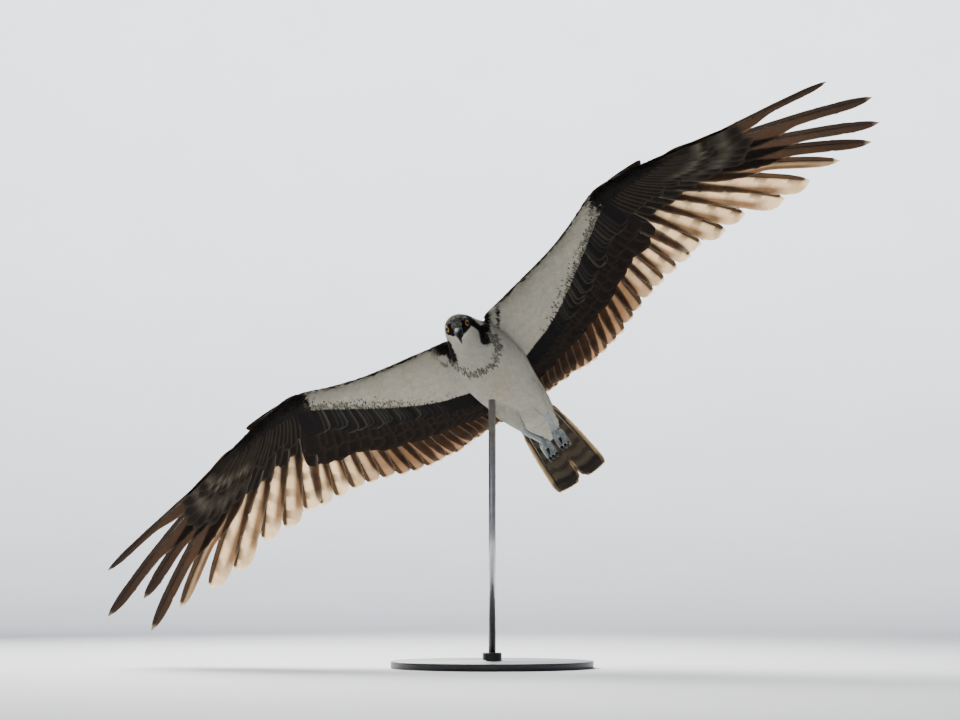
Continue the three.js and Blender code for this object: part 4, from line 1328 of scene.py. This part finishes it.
base = [[AXIS_RADIUS, 0], [BASE_RADIUS - 0.5, 0], [BASE_RADIUS, 0.5], *rounded(BASE_RADIUS, BASE_THICKNESS),
        [COLLAR_RADIUS + 2.5, BASE_THICKNESS], [COLLAR_RADIUS + 0.6, BASE_THICKNESS + 0.7],
        [COLLAR_RADIUS, BASE_THICKNESS + 2.5], *rounded(COLLAR_RADIUS, COLLAR_TOP),
        [ROD_RADIUS + ROD_CLEARANCE, COLLAR_TOP], [ROD_RADIUS + ROD_CLEARANCE, SOCKET_FLOOR],
        [AXIS_RADIUS, SOCKET_FLOOR]]
rod = [[AXIS_RADIUS, ROD_BOTTOM], [ROD_RADIUS, ROD_BOTTOM], [ROD_RADIUS, ROD_TOP], [AXIS_RADIUS, ROD_TOP]]
turned("stand_base", base, plain("base_paint", (0.030, 0.030, 0.033), 0.4), "base_paint")
turned("stand_rod", rod, plain("rod_steel", (0.55, 0.55, 0.56), 0.3, 1.0), "rod_steel")

# Stage, light and camera

CAMERA_DISTANCE = 6.0
PIXELS_PER_METRE = 590.0
FRAME_WIDTH = 960
SENSOR = 36.0
BIRD_AT = (505, 383)  # where the photo shows the bird's origin, in pixels
FRAME_MIDDLE = (480, 360)


def area_light(name, place, aim, size, power, color=(1, 1, 1), spread=180):
    data = bpy.data.lights.new(name, "AREA")
    data.shape = "RECTANGLE"
    data.size, data.size_y = size
    data.energy = power
    data.spread = math.radians(spread)
    data.color = color
    obj = bpy.data.objects.new(name, data)
    obj.location = place
    obj.rotation_euler = (Vector(aim) - Vector(place)).to_track_quat("-Z", "Y").to_euler()
    bpy.context.scene.collection.objects.link(obj)


WALL_Y, WALL_BEND, WALL_TOP = 8.0, 5.5, 9.0
FLOOR_FRONT, FLOOR_SIDE = -10, 12


def stage():
    """A pale floor that bends up into a wall behind the bird."""
    rows = [(FLOOR_FRONT, 0.0)]
    for a in np.linspace(0, math.pi / 2, 24):
        rows.append((WALL_Y + WALL_BEND * (math.sin(a) - 1), WALL_BEND * (1 - math.cos(a))))
    rows.append((WALL_Y, WALL_TOP))
    points = [(x, y, z) for y, z in rows for x in (-FLOOR_SIDE, FLOOR_SIDE)]
    faces = [(2 * i, 2 * i + 1, 2 * i + 3, 2 * i + 2) for i in range(len(rows) - 1)]
    floor = make_object("floor", points, faces)
    n = Nodes("floor")
    color = n.ramp(n.noise(3.0), [(0.3, (0.68, 0.71, 0.75)), (0.7, (0.71, 0.74, 0.78))])
    floor.data.materials.append(n.finish(n.add("BsdfPrincipled", {"Base Color": color, "Roughness": 0.9})))


def camera():
    """The front view, with the bird as large and in the same place as in the photo."""
    right, up, near = view_axes()
    origin = BIRD[:3, 3]
    shift = [(m - b) / PIXELS_PER_METRE for m, b in zip(FRAME_MIDDLE, BIRD_AT)]
    place = origin + near * CAMERA_DISTANCE + right * shift[0] - up * shift[1]
    data = bpy.data.cameras.new("camera")
    data.sensor_width = SENSOR
    data.lens = PIXELS_PER_METRE * CAMERA_DISTANCE * SENSOR / FRAME_WIDTH
    data.clip_end = 50
    obj = bpy.data.objects.new("camera", data)
    matrix = np.eye(4)
    matrix[:3, :3] = np.stack([right, up, near], -1)
    matrix[:3, 3] = place
    obj.matrix_world = Matrix(matrix.tolist())
    bpy.context.scene.collection.objects.link(obj)
    bpy.context.scene.camera = obj


def light():
    """Soft light: a warm lamp behind the bird, a weak one before it and one on the wall."""
    world = bpy.data.worlds.new("studio")
    world.use_nodes = True
    background = world.node_tree.nodes["Background"]
    background.inputs["Color"].default_value = (0.86, 0.92, 1.0, 1)
    background.inputs["Strength"].default_value = 0.28
    bpy.context.scene.world = world
    middle = (0, 0, 0.5)
    area_light("back", (-1.0, 1.7, 2.1), middle, (2.4, 2.4), 120, (1.0, 0.96, 0.90), 80)
    area_light("front", (-2.2, -4.0, 2.6), middle, (3, 3), 16)
    area_light("wall", (0, 2.5, 6.5), (0, WALL_Y, 1.6), (10, 2), 900, spread=120)


stage()
camera()
light()
